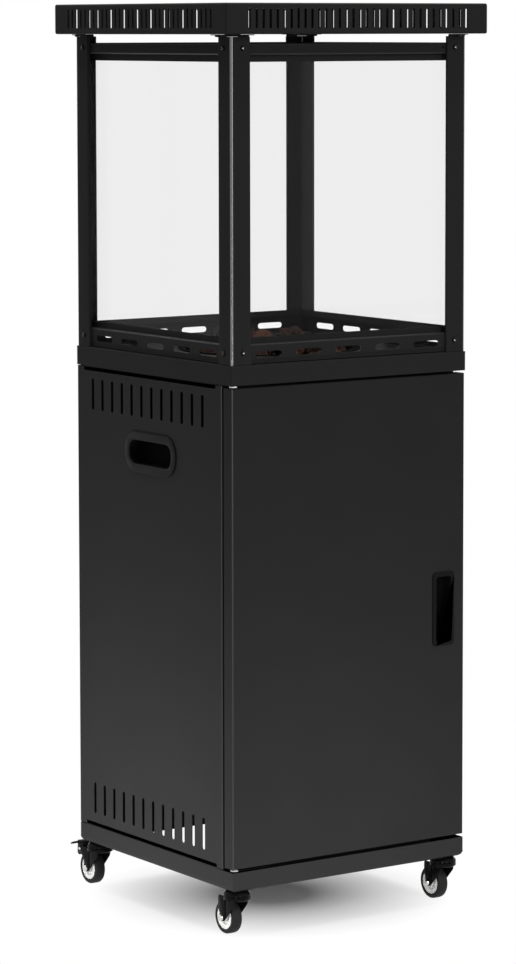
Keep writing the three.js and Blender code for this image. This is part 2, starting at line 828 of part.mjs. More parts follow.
// Burner ring: a tube bent to a ring, a cross tube, and the feed tube that stands in the pan's floor
function burnerRing() {
  const tube = BURNER_TUBE / 2;
  const ring = Array.from({ length: HEXAGON + 1 }, (_, index) => {
    const angle = ((index + 1 / 2) / HEXAGON) * 2 * Math.PI;
    return [BURNER_RING / 2 + tube * Math.cos(angle), burnerCentre + tube * Math.sin(angle)];
  });
  const cross = prism("x", disc(CROSS_TUBE, SMALL_ROUND, 0, burnerCentre), -BURNER_RING / 2, BURNER_RING / 2);
  const feed = prism("z", disc(FEED_TUBE, SMALL_ROUND), panFloor - SHEET - FEED_REACH, burnerCentre);
  const seat = prism("z", hexagon(BURNER_SEAT), panFloor + GAP, panFloor + BURNER_LIFT);
  return join(turned(ring), cross, feed, seat);
}

// A repeatable value between 0 and 1 for a whole number
function scatter(seed) {
  const wave = Math.sin(seed * Math.SQRT2 + 1) * SCATTER;
  return wave - Math.floor(wave);
}

function lavaRock(seed, x, y, z) {
  const geometry = mergeVertices(
    new THREE.DodecahedronGeometry(1).deleteAttribute("normal").deleteAttribute("uv"),
  );
  const position = geometry.getAttribute("position");
  for (let index = 0; index < position.count; index += 1) {
    const swell = 1 + ROCK_ROUGHNESS_SHARE * (2 * scatter(seed + index / position.count) - 1);
    const point = new THREE.Vector3().fromBufferAttribute(position, index).multiplyScalar(swell);
    position.setXYZ(index, point.x, point.y, point.z);
  }
  geometry.rotateZ(scatter(seed) * Math.PI).rotateX(scatter(seed + 1) * Math.PI);
  geometry.scale(ROCK, ROCK, ROCK * ROCK_SQUASH);
  return solid(geometry.translate(x, y, z));
}

// Lava rocks: one heap whose stones lean on each other and lie on the burner ring
function lavaRocks() {
  const floor = burnerCentre + BURNER_TUBE / 2 + GAP;
  const stones = ROCK_RINGS.flatMap(({ count, radiusShare, liftShare, turn }, ring) =>
    Array.from({ length: count }, (_, index) => {
      const angle = ((index + turn) / count) * 2 * Math.PI;
      const radius = radiusShare * ROCK;
      const lift = floor + liftShare * ROCK;
      return lavaRock(ring * count + index, radius * Math.cos(angle), radius * Math.sin(angle), lift);
    }),
  );
  const below = prism("z", disc(PAN_OPENING), floor - 2 * ROCK, floor);
  return join(...stones).subtract(below);
}

const controlFront = -body + CONTROL_FROM_FRONT;
const controlBack = controlFront + SHEET;
const controlAxis = sheetTop - CONTROL_AXIS_DROP;

// Control panel under the deck, with the barrel of the spark igniter
function controlPanel() {
  const section = bentSheet([
    [controlFront + CONTROL_FLANGE, sheetTop],
    [controlFront, sheetTop, BEND],
    [controlFront, sheetTop - CONTROL_HEIGHT],
  ]);
  const sheet = prism("x", new THREE.Shape(section), -CONTROL_WIDTH / 2, CONTROL_WIDTH / 2);
  const barrel = prism(
    "y",
    disc(IGNITER_BARREL, SMALL_ROUND, IGNITER_OFFSET, controlAxis),
    controlBack - SHEET / 2,
    controlBack + IGNITER_BARREL_LENGTH,
  );
  const bushHole = hole(VALVE_BUSH, VALVE_OFFSET, controlAxis);
  const stemHole = hole(BUTTON_STEM, IGNITER_OFFSET, controlAxis);
  const reach = controlBack + IGNITER_BARREL_LENGTH + CUT;
  return join(sheet, barrel)
    .subtract(prism("y", bushHole, controlFront - CUT, controlBack + CUT))
    .subtract(prism("y", stemHole, controlFront - CUT, reach));
}

const valveFront = controlBack + GAP;
const valveBack = valveFront + VALVE_LENGTH;

// Gas valve: body behind the panel, bush and nut through it, spindle, and the hose nipple below
function gasValve() {
  const at = (diameter, sides = SMALL_ROUND) => disc(diameter, sides, VALVE_OFFSET, controlAxis);
  const nutBack = controlFront - GAP;
  const nut = prism("y", hexagon(VALVE_NUT, VALVE_OFFSET, controlAxis), nutBack - VALVE_NUT_HEIGHT, nutBack);
  const bush = prism("y", at(VALVE_BUSH), nutBack - VALVE_NUT_HEIGHT, valveFront + CUT);
  const spindle = prism("y", at(SPINDLE), controlFront - SPINDLE_REACH, valveFront);
  const housing = prism("y", at(VALVE_BODY, WHEEL_ROUND), valveFront, valveBack);
  const inletTop = controlAxis - VALVE_BODY / 4;
  const inletEnd = controlAxis - VALVE_BODY / 2 - INLET_REACH;
  const rings = Math.floor(INLET_REACH / INLET_BARB_PITCH) - 1;
  const barbs = Array.from({ length: rings }, (_, index) => {
    const z = inletEnd + index * INLET_BARB_PITCH;
    return [
      [INLET / 2, z],
      [INLET_BARB / 2, z + INLET_BARB_PITCH / 2],
      [INLET / 2, z + INLET_BARB_PITCH / 2],
    ];
  });
  const profile = [
    [INLET_BORE / 2, inletEnd],
    ...barbs.flat(),
    [INLET / 2, inletTop],
    [0, inletTop],
    [0, controlAxis - VALVE_BODY / 2],
    [INLET_BORE / 2, controlAxis - VALVE_BODY / 2],
    [INLET_BORE / 2, inletEnd],
  ];
  const nippleGeometry = new THREE.LatheGeometry(
    profile.map(([x, y]) => new THREE.Vector2(x, y)),
    SMALL_ROUND,
  );
  const nippleY = (valveFront + valveBack) / 2;
  const nipple = solid(nippleGeometry.rotateX(Math.PI / 2).translate(VALVE_OFFSET, nippleY, 0));
  return join(nut, bush, spindle, housing, nipple);
}

// Gas pipe from the back of the valve to the burner's feed tube
function gasPipe() {
  const start = new THREE.Vector3(VALVE_OFFSET, valveBack + GAP, controlAxis);
  const top = new THREE.Vector3(0, 0, panFloor - SHEET - FEED_REACH - GAP);
  const elbows = [new THREE.Vector3(VALVE_OFFSET, 0, controlAxis), new THREE.Vector3(0, 0, controlAxis)];
  const path = new THREE.CurvePath();
  let from = start;
  elbows.forEach((elbow, index) => {
    const next = elbows[index + 1] ?? top;
    const enter = elbow.clone().sub(from).normalize();
    const leave = next.clone().sub(elbow).normalize();
    const bendRadius = index === 0 ? Math.abs(VALVE_OFFSET) / 2 : PIPE_BEND / 2;
    const bendStart = elbow.clone().addScaledVector(enter, -bendRadius);
    const bendEnd = elbow.clone().addScaledVector(leave, bendRadius);
    path.add(new THREE.LineCurve3(from, bendStart));
    path.add(new THREE.QuadraticBezierCurve3(bendStart, elbow, bendEnd));
    from = bendEnd;
  });
  path.add(new THREE.LineCurve3(from, top));
  const tube = solid(
    new THREE.ExtrudeGeometry(disc(GAS_PIPE, PIPE_SIDES), { steps: PIPE_STEPS, extrudePath: path }),
  );
  const valveNut = prism(
    "y",
    hexagon(OUTLET_NUT, VALVE_OFFSET, controlAxis),
    start.y,
    start.y + OUTLET_NUT_LENGTH,
  );
  const jet = prism("z", hexagon(OUTLET_NUT), top.z - OUTLET_NUT_LENGTH, top.z);
  return join(tube, valveNut, jet);
}

// Control knob on the spindle, with a skirt and a grip bar
function controlKnob() {
  const back = controlFront - GAP - VALVE_NUT_HEIGHT - CUT;
  const front = back - KNOB_LENGTH;
  const at = (diameter, sides) => disc(diameter, sides, VALVE_OFFSET, controlAxis);
  const skirt = prism("y", at(KNOB, WHEEL_ROUND), back - KNOB_SKIRT, back);
  const grip = prism("y", at(KNOB_GRIP, WHEEL_ROUND), front + KNOB_BAR_HEIGHT, back - KNOB_SKIRT / 2);
  const bar = prism(
    "y",
    slot(VALVE_OFFSET, controlAxis, KNOB_BAR, KNOB_GRIP, SLOT_STEPS),
    front,
    back - KNOB_SKIRT / 2,
    RIM_BEAD,
  );
  const boreShape = hole(SPINDLE, VALVE_OFFSET, controlAxis);
  const bore = prism("y", boreShape, controlFront - SPINDLE_REACH - GAP, back + CUT);
  return join(skirt, grip, bar).subtract(bore);
}

function igniterButton() {
  const back = controlFront - GAP - BUTTON_TRAVEL;
  const front = back - BUTTON_HEIGHT;
  const cap = prism("y", disc(BUTTON, WHEEL_ROUND, IGNITER_OFFSET, controlAxis), front, back, BUTTON_BEVEL);
  const stem = disc(BUTTON_STEM, SMALL_ROUND, IGNITER_OFFSET, controlAxis);
  return cap.add(prism("y", stem, back - BUTTON_BEVEL, back + BUTTON_STEM_LENGTH));
}

// Pilot: a bracket on the pan's floor with the pilot tube, its hood and two probes
function pilotAssembly() {
  const foot = panFloor + GAP;
  const hoodLow = burnerCentre - PILOT_HOOD_HEIGHT / 2;
  const hoodHigh = hoodLow + PILOT_HOOD_HEIGHT;
  const at = (diameter, x = 0) => disc(diameter, SMALL_ROUND, x, -PILOT_RADIUS);
  const tube = prism("z", at(PILOT_TUBE), panFloor - PILOT_DROP, hoodLow + SHEET);
  const hood = prism("z", at(PILOT_HOOD), hoodLow, hoodHigh);
  const probeX = (PILOT_HOOD + PILOT_PROBE) / 2 - PILOT_PROBE_BITE;
  const reach = probeX + PILOT_PROBE / 2 + PILOT_BRACKET_MARGIN;
  const plate = rectangle(
    -reach,
    reach,
    -PILOT_RADIUS - PILOT_BRACKET_DEPTH / 2,
    -PILOT_RADIUS + PILOT_BRACKET_DEPTH / 2,
    BEND,
  );
  const probes = [-probeX, probeX].map((x) => at(PILOT_PROBE, x));
  return join(tube, hood, prism("z", plate, foot, foot + SHEET), prism("z", probes, foot, hoodHigh));
}

// Corner post, drawn for the front left corner: an L with lips, and a tab turned out on each flange
function cornerPost() {
  const face = posts;
  const edge = face - POST_FLANGE;
  const plan = bentSheet([
    [-face + POST_LIP, -edge],
    [-face, -edge, BEND],
    [-face, -face, POST_BEND],
    [-edge, -face, BEND],
    [-edge, -face + POST_LIP],
  ]);
  const post = prism("z", new THREE.Shape(plan), postBottom, postTop);
  const tabTop = postTop + TAB_RISE;
  const section = bentSheet([
    [-face + SHEET, postTop - TAB_LAP],
    [-face + SHEET, tabTop, BEND],
    [-face - TAB_REACH, tabTop],
  ]);
  const tabStart = -face + TAB_FROM_CORNER;
  const tabEnd = -edge - BEND;
  const frontPlan = outline([
    [tabStart, -face + SHEET],
    [tabStart, -face - TAB_REACH, TAB_CORNER],
    [tabEnd, -face - TAB_REACH, TAB_CORNER],
    [tabEnd, -face + SHEET],
  ]);
  const sidePlan = outline([
    [-face + SHEET, tabStart],
    [-face - TAB_REACH, tabStart, TAB_CORNER],
    [-face - TAB_REACH, tabEnd, TAB_CORNER],
    [-face + SHEET, tabEnd],
  ]);
  const low = postTop - TAB_LAP - CUT;
  const frontTab = prism("x", new THREE.Shape(section), tabStart, tabEnd).intersect(
    prism("z", frontPlan, low, tabTop + CUT),
  );
  const sideTab = prism("y", new THREE.Shape(section), tabStart, tabEnd).intersect(
    prism("z", sidePlan, low, tabTop + CUT),
  );
  return join(post, frontTab, sideTab);
}

const railFace = -posts + RAIL_INSET;
const glassFront = railFace + LIP_INSET + SHEET + GAP;
const glassBack = glassFront + GLASS;
const channelBack = glassBack + GAP + SHEET;
const lowerLedge = postBottom + LOWER_RAIL_HEIGHT;
const upperLedge = postTop - UPPER_RAIL_DROP;
const railSlotPitch = (2 * (posts - RAIL_SLOT_FROM_EDGE)) / (RAIL_SLOT_COUNT - 1);

// A rail of the front side: wall, ledge and glass channel. The channel opens up for way 1, down for way -1.
function rail({ ledge, way, height, lip, foot, slots }) {
  const wall = new THREE.Shape(
    bentSheet([
      [channelBack, 0],
      [railFace, 0, BEND],
      [railFace, -height, BEND],
      [railFace + foot, -height],
    ]).map((point) => new THREE.Vector2(point.x, ledge + way * point.y)),
  );
  const lips = [railFace + LIP_INSET, glassBack + GAP].map((y) =>
    rectangle(y, y + SHEET, ledge - way * SHEET, ledge + way * lip),
  );
  const far = -railFace;
  const near = -channelBack;
  const mitre = GAP / Math.SQRT2;
  const plan = outline([
    [-far + mitre, -far],
    [far - mitre, -far],
    [near - mitre, -near],
    [-near + mitre, -near],
  ]);
  const low = ledge - Math.max(height, lip) - CUT;
  const high = ledge + Math.max(height, lip) + CUT;
  const bar = join(prism("x", wall, -far, far), ...lips.map((shape) => prism("x", shape, -far, far)));
  const mitred = bar.intersect(prism("z", plan, low, high));
  return slots.length ? mitred.subtract(prism("y", slots, railFace - CUT, railFace + BEND + CUT)) : mitred;
}

function lowerRail() {
  const slots = Array.from({ length: RAIL_SLOT_COUNT }, (_, index) => {
    const x = (index - (RAIL_SLOT_COUNT - 1) / 2) * railSlotPitch;
    return slot(x, postBottom + RAIL_SLOT_LIFT, RAIL_SLOT_LENGTH, RAIL_SLOT_HEIGHT, SLOT_STEPS);
  });
  return rail({
    ledge: lowerLedge,
    way: 1,
    height: LOWER_RAIL_HEIGHT,
    lip: LOWER_RAIL_LIP,
    foot: LOWER_RAIL_FOOT,
    slots,
  });
}

function upperRail() {
  return rail({
    ledge: upperLedge,
    way: -1,
    height: UPPER_RAIL_HEIGHT,
    lip: UPPER_RAIL_LIP,
    foot: UPPER_RAIL_FOOT,
    slots: [],
  });
}

function glassPane() {
  const side = -glassBack - GAP;
  return prism("x", rectangle(glassFront, glassBack, lowerLedge + GAP, upperLedge - GAP), -side, side);
}

function addCage() {
  const pieces = {
    corner_post: [cornerPost(), blackSteel, ["front_left", "front_right", "rear_right", "rear_left"]],
    lower_rail: [lowerRail(), blackSteel, ["front", "right", "rear", "left"]],
    upper_rail: [upperRail(), blackSteel, ["front", "right", "rear", "left"]],
    glass_pane: [glassPane(), clearGlass, ["front", "right", "rear", "left"]],
  };
  for (const [piece, [shape, material, sides]] of Object.entries(pieces)) {
    sides.forEach((side, index) => {
      const turn = new THREE.Group();
      turn.rotation.z = (index * Math.PI) / 2;
      heater.add(turn);
      addPart(`${piece}_${side}`, shape, material(), turn);
    });
  }
}

// Head cap: a lid with slotted walls and a flange turned in at its foot
function headCap() {
  const outside = squareBlock(head, headBottom, headTop, HEAD_BEND, HEAD_BEND, HEAD_BEND);
  const bend = HEAD_BEND - SHEET;
  const inside = squareBlock(head - SHEET, headBottom + SHEET, headTop - SHEET, bend, bend, bend);
  const mouth = posts - HEAD_LAP;
  const mouthShape = rectangle(-mouth, mouth, -mouth, mouth, HEAD_BEND);
  const opening = prism("z", mouthShape, headBottom - CUT, headBottom + CUT);
  const slotLow = headBottom + HEAD_SLOT_LIFT;
  const slotPitch = (2 * (head - HEAD_SLOT_FROM_EDGE)) / (HEAD_SLOT_COUNT - 1);
  const slots = Array.from({ length: HEAD_SLOT_COUNT }, (_, index) => {
    const left = HEAD_SLOT_FROM_EDGE - head + index * slotPitch - HEAD_SLOT_WIDTH / 2;
    return rectangle(left, left + HEAD_SLOT_WIDTH, slotLow, slotLow + HEAD_SLOT_HEIGHT);
  });
  return outside
    .subtract(inside)
    .subtract(opening)
    .subtract(prism("x", slots, -head - CUT, head + CUT))
    .subtract(prism("y", slots, -head - CUT, head + CUT));
}

function headHeatShield() {
  const ceiling = headTop - SHEET;
  const low = ceiling - SHIELD_DROP - SHEET;
  const half = head - SHIELD_INSET;
  const plate = prism("z", rectangle(-half, half, -half, half, SHIELD_CORNER), low, low + SHEET);
  const place = SHIELD_STUD_SPACING / 2;
  const places = [-place, place];
  const studs = places.flatMap((x) => places.map((y) => disc(SHIELD_STUD, PIPE_SIDES, x, y)));
  return plate.add(prism("z", studs, low, ceiling - GAP));
}

const cupTop = trayBottom - GAP;
const cupRim = cupTop - CUP_HEIGHT;
const crownTop = cupRim - RACE_GAP;
const crownBottom = crownTop - CROWN_HEIGHT;
const axleHeight = WHEEL / 2;
const brakePinHeight = trayBottom - BRAKE_PIN_DROP;
const pedalTop = trayBottom - PEDAL_DROP;
const stemTop = trayBottom + SHEET + STEM_LENGTH;

// Caster cup: the fixed half of the swivel, with its stem through the tray and the nut on it
function casterCup() {
  const shell = turned([
    [0, cupTop],
    [CUP_CROWN / 2, cupTop],
    [CUP / 2, cupRim + CUP_SKIRT],
    [CUP / 2, cupRim],
    [CUP / 2 - CUP_THICKNESS, cupRim],
    [CUP_CROWN / 2 - CUP_THICKNESS, cupTop - CUP_THICKNESS],
    [0, cupTop - CUP_THICKNESS],
  ], WHEEL_ROUND);
  const nutLow = trayBottom + SHEET + GAP;
  const nut = prism("z", hexagon(STEM_NUT), nutLow, nutLow + STEM_NUT_HEIGHT);
  return join(shell, prism("z", disc(STEM, SMALL_ROUND), cupTop - CUP_THICKNESS / 2, stemTop), nut);
}

// Caster fork: crown with the kingpin, two legs, the axle, and on a braked caster the ears of the pedal
function casterFork(braked) {
  const crown = turned([
    [0, cupTop - CUP_THICKNESS - GAP],
    [KINGPIN / 2, cupTop - CUP_THICKNESS - GAP],
    [KINGPIN / 2, crownTop],
    [CUP / 2 - CROWN_BEVEL, crownTop],
    [CUP / 2, crownTop - CROWN_BEVEL],
    [CUP / 2, crownBottom],
    [0, crownBottom],
  ], WHEEL_ROUND);
  const legTop = crownBottom + CROWN_HEIGHT / 2;
  const end = FORK_END / 2;
  const ear = BRAKE_EAR / 2;
  const rear = braked
    ? [
        [TRAIL + end, axleHeight + FORK_WAIST, FORK_END],
        [BRAKE_PIN_REACH + ear, brakePinHeight - ear, ear],
        [BRAKE_PIN_REACH + ear, brakePinHeight + ear, ear],
        [FORK_REAR, brakePinHeight + ear],
      ]
    : [
        [TRAIL + end, axleHeight + end, FORK_END],
        [FORK_REAR, legTop],
      ];
  const leg = outline([
    [-FORK_FRONT, legTop],
    [-FORK_FRONT, crownBottom - CROWN_HEIGHT, FORK_END],
    [TRAIL - end, axleHeight - end, end],
    [TRAIL + end, axleHeight - end, end],
    ...rear,
  ]);
  const inside = FORK_INSIDE / 2;
  const outside = inside + FORK_WALL;
  const legs = [-1, 1].map((side) => {
    const plate = prism("x", leg, side * inside, side * outside);
    const pinHole = hole(BRAKE_PIN, BRAKE_PIN_REACH, brakePinHeight);
    return braked ? plate.subtract(prism("x", pinHole, -outside - CUT, outside + CUT)) : plate;
  });
  const axle = prism("x", disc(AXLE, SMALL_ROUND, TRAIL, axleHeight), -outside, outside);
  const heads = [-1, 1].map((side) =>
    prism("x", hexagon(AXLE_HEAD, TRAIL, axleHeight), side * outside, side * (outside + AXLE_HEAD_HEIGHT)),
  );
  return join(crown, ...legs, axle, ...heads);
}

// Turns a profile [radius, place along X] about the axle.
// The facets touch the true circle, one of them at the floor.
function turnedWheel(points) {
  const halfStep = Math.PI / WHEEL_ROUND;
  const profile = [...points, points[0]].map(
    ([radius, place]) => new THREE.Vector2(radius / Math.cos(halfStep), place),
  );
  const geometry = new THREE.LatheGeometry(profile, WHEEL_ROUND, halfStep);
  return solid(geometry.rotateZ(-Math.PI / 2).translate(0, TRAIL, axleHeight));
}

function mirrored(points) {
  return [...points, ...points.map(([radius, place]) => [radius, -place]).reverse()];
}

function casterHub() {
  const boss = FORK_INSIDE / 2 - GAP;
  const rim = TYRE_WIDTH / 2 - TYRE_BEVEL / 2;
  const bore = AXLE / 2 + GAP;
  return turnedWheel(
    mirrored([
      [bore, boss],
      [HUB_BOSS / 2, boss],
      [HUB_BOSS / 2, rim - HUB_GROOVE],
      [HUB / 2, rim],
    ]),
  );
}

function casterTyre() {
  const side = TYRE_WIDTH / 2;
  return turnedWheel(
    mirrored([
      [HUB / 2 + GAP, side - TYRE_BEVEL / 2],
      [WHEEL / 2 - TYRE_BEVEL, side],
      [WHEEL / 2, side - TYRE_BEVEL],
    ]),
  );
}

// Brake pedal: a curved plate over a block that carries the pin and reaches down behind the tyre
function brakePedal() {
  const profile = bentSheet(
    [
      [PEDAL_REACH, pedalTop - PEDAL_DIP],
      [PEDAL_KNEE, pedalTop, PEDAL_BEND],
      [PEDAL_FRONT, pedalTop],
    ],
    PEDAL_WALL,
  );
  const half = PEDAL_WIDTH / 2;
  const plan = outline([
    [-half, PEDAL_FRONT, PEDAL_CORNER],
    [half, PEDAL_FRONT, PEDAL_CORNER],
    [half, PEDAL_REACH, PEDAL_CORNER],
    [-half, PEDAL_REACH, PEDAL_CORNER],
  ]);
  const plate = prism("x", new THREE.Shape(profile), -half, half).intersect(
    prism("z", plan, pedalTop - PEDAL_DIP - PEDAL_BEND, pedalTop + CUT),
  );
  const fromAxle = (across, up) => new THREE.Vector2(TRAIL + across * axleHeight, axleHeight * (1 + up));
  const [topFront, topRear] = BLOCK_TOP_SHARES.map((share) => TRAIL + share * axleHeight);
  const blockShape = new THREE.Shape([
    new THREE.Vector2(topFront, pedalTop - PEDAL_WALL / 2),
    ...BLOCK_SHARES.map(([across, up]) => fromAxle(across, up)),
    new THREE.Vector2(topRear, pedalTop - PEDAL_WALL),
  ]);
  const blockSide = FORK_INSIDE / 2 - GAP;
  const block = prism("x", blockShape, -blockSide, blockSide);
  const pinEnd = FORK_INSIDE / 2 + FORK_WALL + BRAKE_PIN_HEAD;
  const pin = prism("x", disc(BRAKE_PIN, SMALL_ROUND, BRAKE_PIN_REACH, brakePinHeight), -pinEnd, pinEnd);
  return join(plate, block, pin);
}

function addCasters() {
  const names = ["front_left", "front_right", "rear_left", "rear_right"];
  const cup = casterCup();
  const hub = casterHub();
  const tyre = casterTyre();
  casterPlaces().forEach(([x, y], index) => {
    const name = names[index];
    const braked = name.startsWith("rear");
    const caster = new THREE.Group();
    caster.position.set(x, y, 0);
    heater.add(caster);
    addPart(`caster_cup_${name}`, cup, blackSteel(), caster);
    addPart(`caster_fork_${name}`, casterFork(braked), blackSteel(), caster);
    addPart(`caster_hub_${name}`, hub, paleNylon(), caster);
    addPart(`caster_tyre_${name}`, tyre, greyRubber(), caster);
    if (braked) addPart(`brake_pedal_${name}`, brakePedal(), blackPlastic(), caster);
  });
}

addPart("base_tray", baseTray(), greySteel());
const panel = sidePanel();
addPart("left_side_panel", panel, greySteel());
addPart("right_side_panel", panel, greySteel()).scale.x = -1;
addGrips();
addPart("rear_panel", rearPanel(), blackSteel());
addPart("door_frame", doorFrame(), blackSteel());
addPart("door_panel", doorPanel(), blackSteel());
addDoorHandle();
addPart("upper_hinge_plate", hingePlate(doorTop, 1), zinc());
addPart("lower_hinge_plate", hingePlate(doorBottom, -1), zinc());
addPart("magnet_catch", magnetCatch(), blackPlastic());
addPart("burner_deck", burnerDeck(), blackSteel());
addPart("burner_pan", burnerPan(), stainless());
addPart("burner_ring", burnerRing(), stainless());
addPart("pilot_assembly", pilotAssembly(), stainless());
addPart("lava_rocks", lavaRocks(), lava());
addPart("control_panel", controlPanel(), blackSteel());
addPart("gas_valve", gasValve(), brass());
addPart("gas_pipe", gasPipe(), brass());
addPart("control_knob", controlKnob(), blackPlastic());
addPart("igniter_button", igniterButton(), blackPlastic());
addCage();
addPart("head_cap", headCap(), blackSteel());
addPart("head_heat_shield", headHeatShield(), stainless());
addCasters();

export default heater;
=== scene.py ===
"""A gas patio heater of folded steel, glass and casters, dressed piece by piece on its packed CAD frame."""

import json
import math
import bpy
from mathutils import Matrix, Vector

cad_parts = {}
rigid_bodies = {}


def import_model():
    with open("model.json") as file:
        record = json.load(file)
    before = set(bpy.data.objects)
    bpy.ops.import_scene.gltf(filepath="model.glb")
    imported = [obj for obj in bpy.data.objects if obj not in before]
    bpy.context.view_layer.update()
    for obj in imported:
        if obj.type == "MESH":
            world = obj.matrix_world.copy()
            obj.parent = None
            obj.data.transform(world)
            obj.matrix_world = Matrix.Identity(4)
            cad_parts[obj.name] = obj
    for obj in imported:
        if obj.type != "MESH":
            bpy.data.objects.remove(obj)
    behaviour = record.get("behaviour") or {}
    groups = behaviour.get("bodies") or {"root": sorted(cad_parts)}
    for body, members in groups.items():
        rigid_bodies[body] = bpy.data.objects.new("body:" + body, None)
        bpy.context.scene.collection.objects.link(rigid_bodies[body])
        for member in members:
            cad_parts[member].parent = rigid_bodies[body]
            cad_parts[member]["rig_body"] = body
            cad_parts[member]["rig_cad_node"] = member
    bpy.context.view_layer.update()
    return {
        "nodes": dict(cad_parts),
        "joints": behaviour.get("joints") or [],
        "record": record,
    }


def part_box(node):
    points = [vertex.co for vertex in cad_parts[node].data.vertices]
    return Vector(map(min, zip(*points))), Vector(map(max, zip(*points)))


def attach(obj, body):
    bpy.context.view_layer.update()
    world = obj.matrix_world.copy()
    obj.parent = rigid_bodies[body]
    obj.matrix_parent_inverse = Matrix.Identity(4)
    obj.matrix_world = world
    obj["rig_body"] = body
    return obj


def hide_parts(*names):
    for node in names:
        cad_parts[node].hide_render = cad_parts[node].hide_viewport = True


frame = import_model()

from types import SimpleNamespace

import bpy
from bpy.props import FloatProperty, FloatVectorProperty, IntProperty, PointerProperty
from mathutils import Euler, Vector

bl_info = {
    "name": "Gas patio heater",
    "version": (1, 0, 0),
    "blender": (4, 5, 0),
    "location": "3D View > Sidebar > Heater",
    "description": "Dresses the frame of a gas patio heater, piece by piece",
    "category": "Object",
}

# Metres in a millimetre, a distance in millimetres that doesn't count, and the parts of a face's normal that tell
# a flat from a slanted face and an upright bend from a level one.
MM = 0.001
SLIGHT = 0.01
FLAT = 0.985
UPRIGHT = 0.2

# How far a post's face stands in front of its rails, and the width of the burner pan's flange, in millimetres.
POST_PROUD = 5
PAN_FLANGE = 12.2

# A point away from every plane of symmetry, from which the parts of a mesh are put in order.
ORDER_POINT = (0.37, 0.61, 1.13)

# The camera, fitted to the photograph: metres, degrees, millimetres and a share of the picture.
CAMERA_PLACE = (-3.0819, -4.4684, 1.3293)
CAMERA_TURN = (84.6, 0.099, -34.424)
CAMERA_LENS = 133.75
CAMERA_SHIFT = -0.12

WAY = {"x": 0, "y": 1, "z": 2}
CORNERS = ("front_left", "front_right", "rear_left", "rear_right")
SIDES = ("front", "right", "rear", "left")


# Settings


def linear(code):
    """Turns an sRGB hex colour into linear red, green, blue and alpha."""
    channels = [int(code[place : place + 2], 16) / 255 for place in (1, 3, 5)]
    return (*[c / 12.92 if c <= 0.04045 else ((c + 0.055) / 1.055) ** 2.4 for c in channels], 1.0)


def length(name, millimetres, description):
    """A length that a user may change. Blender keeps it in metres."""
    return FloatProperty(
        name=name, description=description, default=millimetres * MM, min=0, precision=4, subtype="DISTANCE"
    )


def number(name, default, description):
    """A count that a user may change."""
    return IntProperty(name=name, description=description, default=default, min=1)


def colour(name, code, description):
    """A colour that a user may change, from its sRGB hex value."""
    return FloatVectorProperty(
        name=name, description=description, default=linear(code)[:3], min=0, max=1, subtype="COLOR"
    )


def watts(name, default, description):
    """The power of a lamp."""
    return FloatProperty(name=name, description=description, default=default, min=0, unit="POWER")


class HeaterSheet(bpy.types.PropertyGroup):
    """Folded sheet steel"""

    sheet: length("Sheet", 1.2, "Thickness of the sheet steel")
    bend: length("Bend", 2, "Outer radius of an upright bend")
    post_bend: length("Post bend", 3, "Outer radius of the bends of the posts and the head")
    tray_bend: length("Tray bend", 10, "Outer radius round the floor of the tray")
    broken_edge: length("Broken edge", 0.25, "Width of the broken edge that a sheared sheet has")
    door_lip: length("Door lip", 12, "How far the door's edge turns in behind")
    head_lip: length("Head flange", 40, "How far the head turns in underneath")
    pan_opening: length("Pan opening", 262, "Diameter of the hole for the burner pan")
    side_gap: length("Side gap", 1.2, "Between a side panel and the deck or the tray")
    glass_seat: length("Glass seat", 7, "How far a pane's edge goes on behind its post")


class HeaterVents(bpy.types.PropertyGroup):
    """Vents of the side panels and slots of the head"""

    count: number("Vents", 12, "Vents in a row of a side panel")
    width: length("Vent width", 7, "Width of a vent")
    height: length("Vent height", 48, "Height of a vent")
    from_rear: length("From the rear", 44.5, "From the rear face to the first vent")
    pitch: length("Pitch", 27.5, "From one vent to the next")
    from_top: length("From the top", 41.5, "From the panel's top to the middle of the upper row")
    from_bottom: length("From the bottom", 44.2, "From the panel's bottom to the middle of the lower row")
    slots: number("Head slots", 33, "Slots in a side of the head")
    slot_width: length("Slot width", 4, "Width of a head slot")
    slot_height: length("Slot height", 29, "Height of a head slot")
    slot_from_edge: length("Slot from the edge", 40.1, "From the head's corner to the middle of the first slot")
    slot_lift: length("Slot lift", 8.5, "From the head's bottom to a slot")


class HeaterCups(bpy.types.PropertyGroup):
    """Pull cups of the side panels and the door"""

    rim: length("Rim", 2.2, "How far a cup's rim stands out")
    wall: length("Wall", 2, "Wall of a moulded cup")
    grip_corner: length("Grip corner", 28, "Corner radius of a hand grip's rim")
    grip_mouth: length("Grip mouth", 36, "Height of a hand grip's mouth")
    grip_mouth_corner: length("Grip mouth corner", 15, "Corner radius of a hand grip's mouth")
    handle_corner: length("Handle corner", 6, "Corner radius of the door handle's rim")
    handle_mouth: length("Handle mouth", 28, "Width of the door handle's mouth")
    handle_mouth_corner: length("Handle mouth corner", 4, "Corner radius of the door handle's mouth")


class HeaterCasters(bpy.types.PropertyGroup):
    """Swivel casters"""

    balls: number("Balls", 14, "Balls in the race of a caster")
    ball: length("Ball", 3.8, "Diameter of a ball")
    leg: length("Fork leg", 2, "Thickness of a fork leg")
    stem: length("Stem", 9.9, "Diameter of the threaded stem")
    thread_pitch: length("Thread pitch", 1.25, "Pitch of the stem's thread")
    nut: length("Nut", 17, "Width across the flats of the stem's nut")
    axle: length("Axle", 5.8, "Diameter of the wheel's axle")


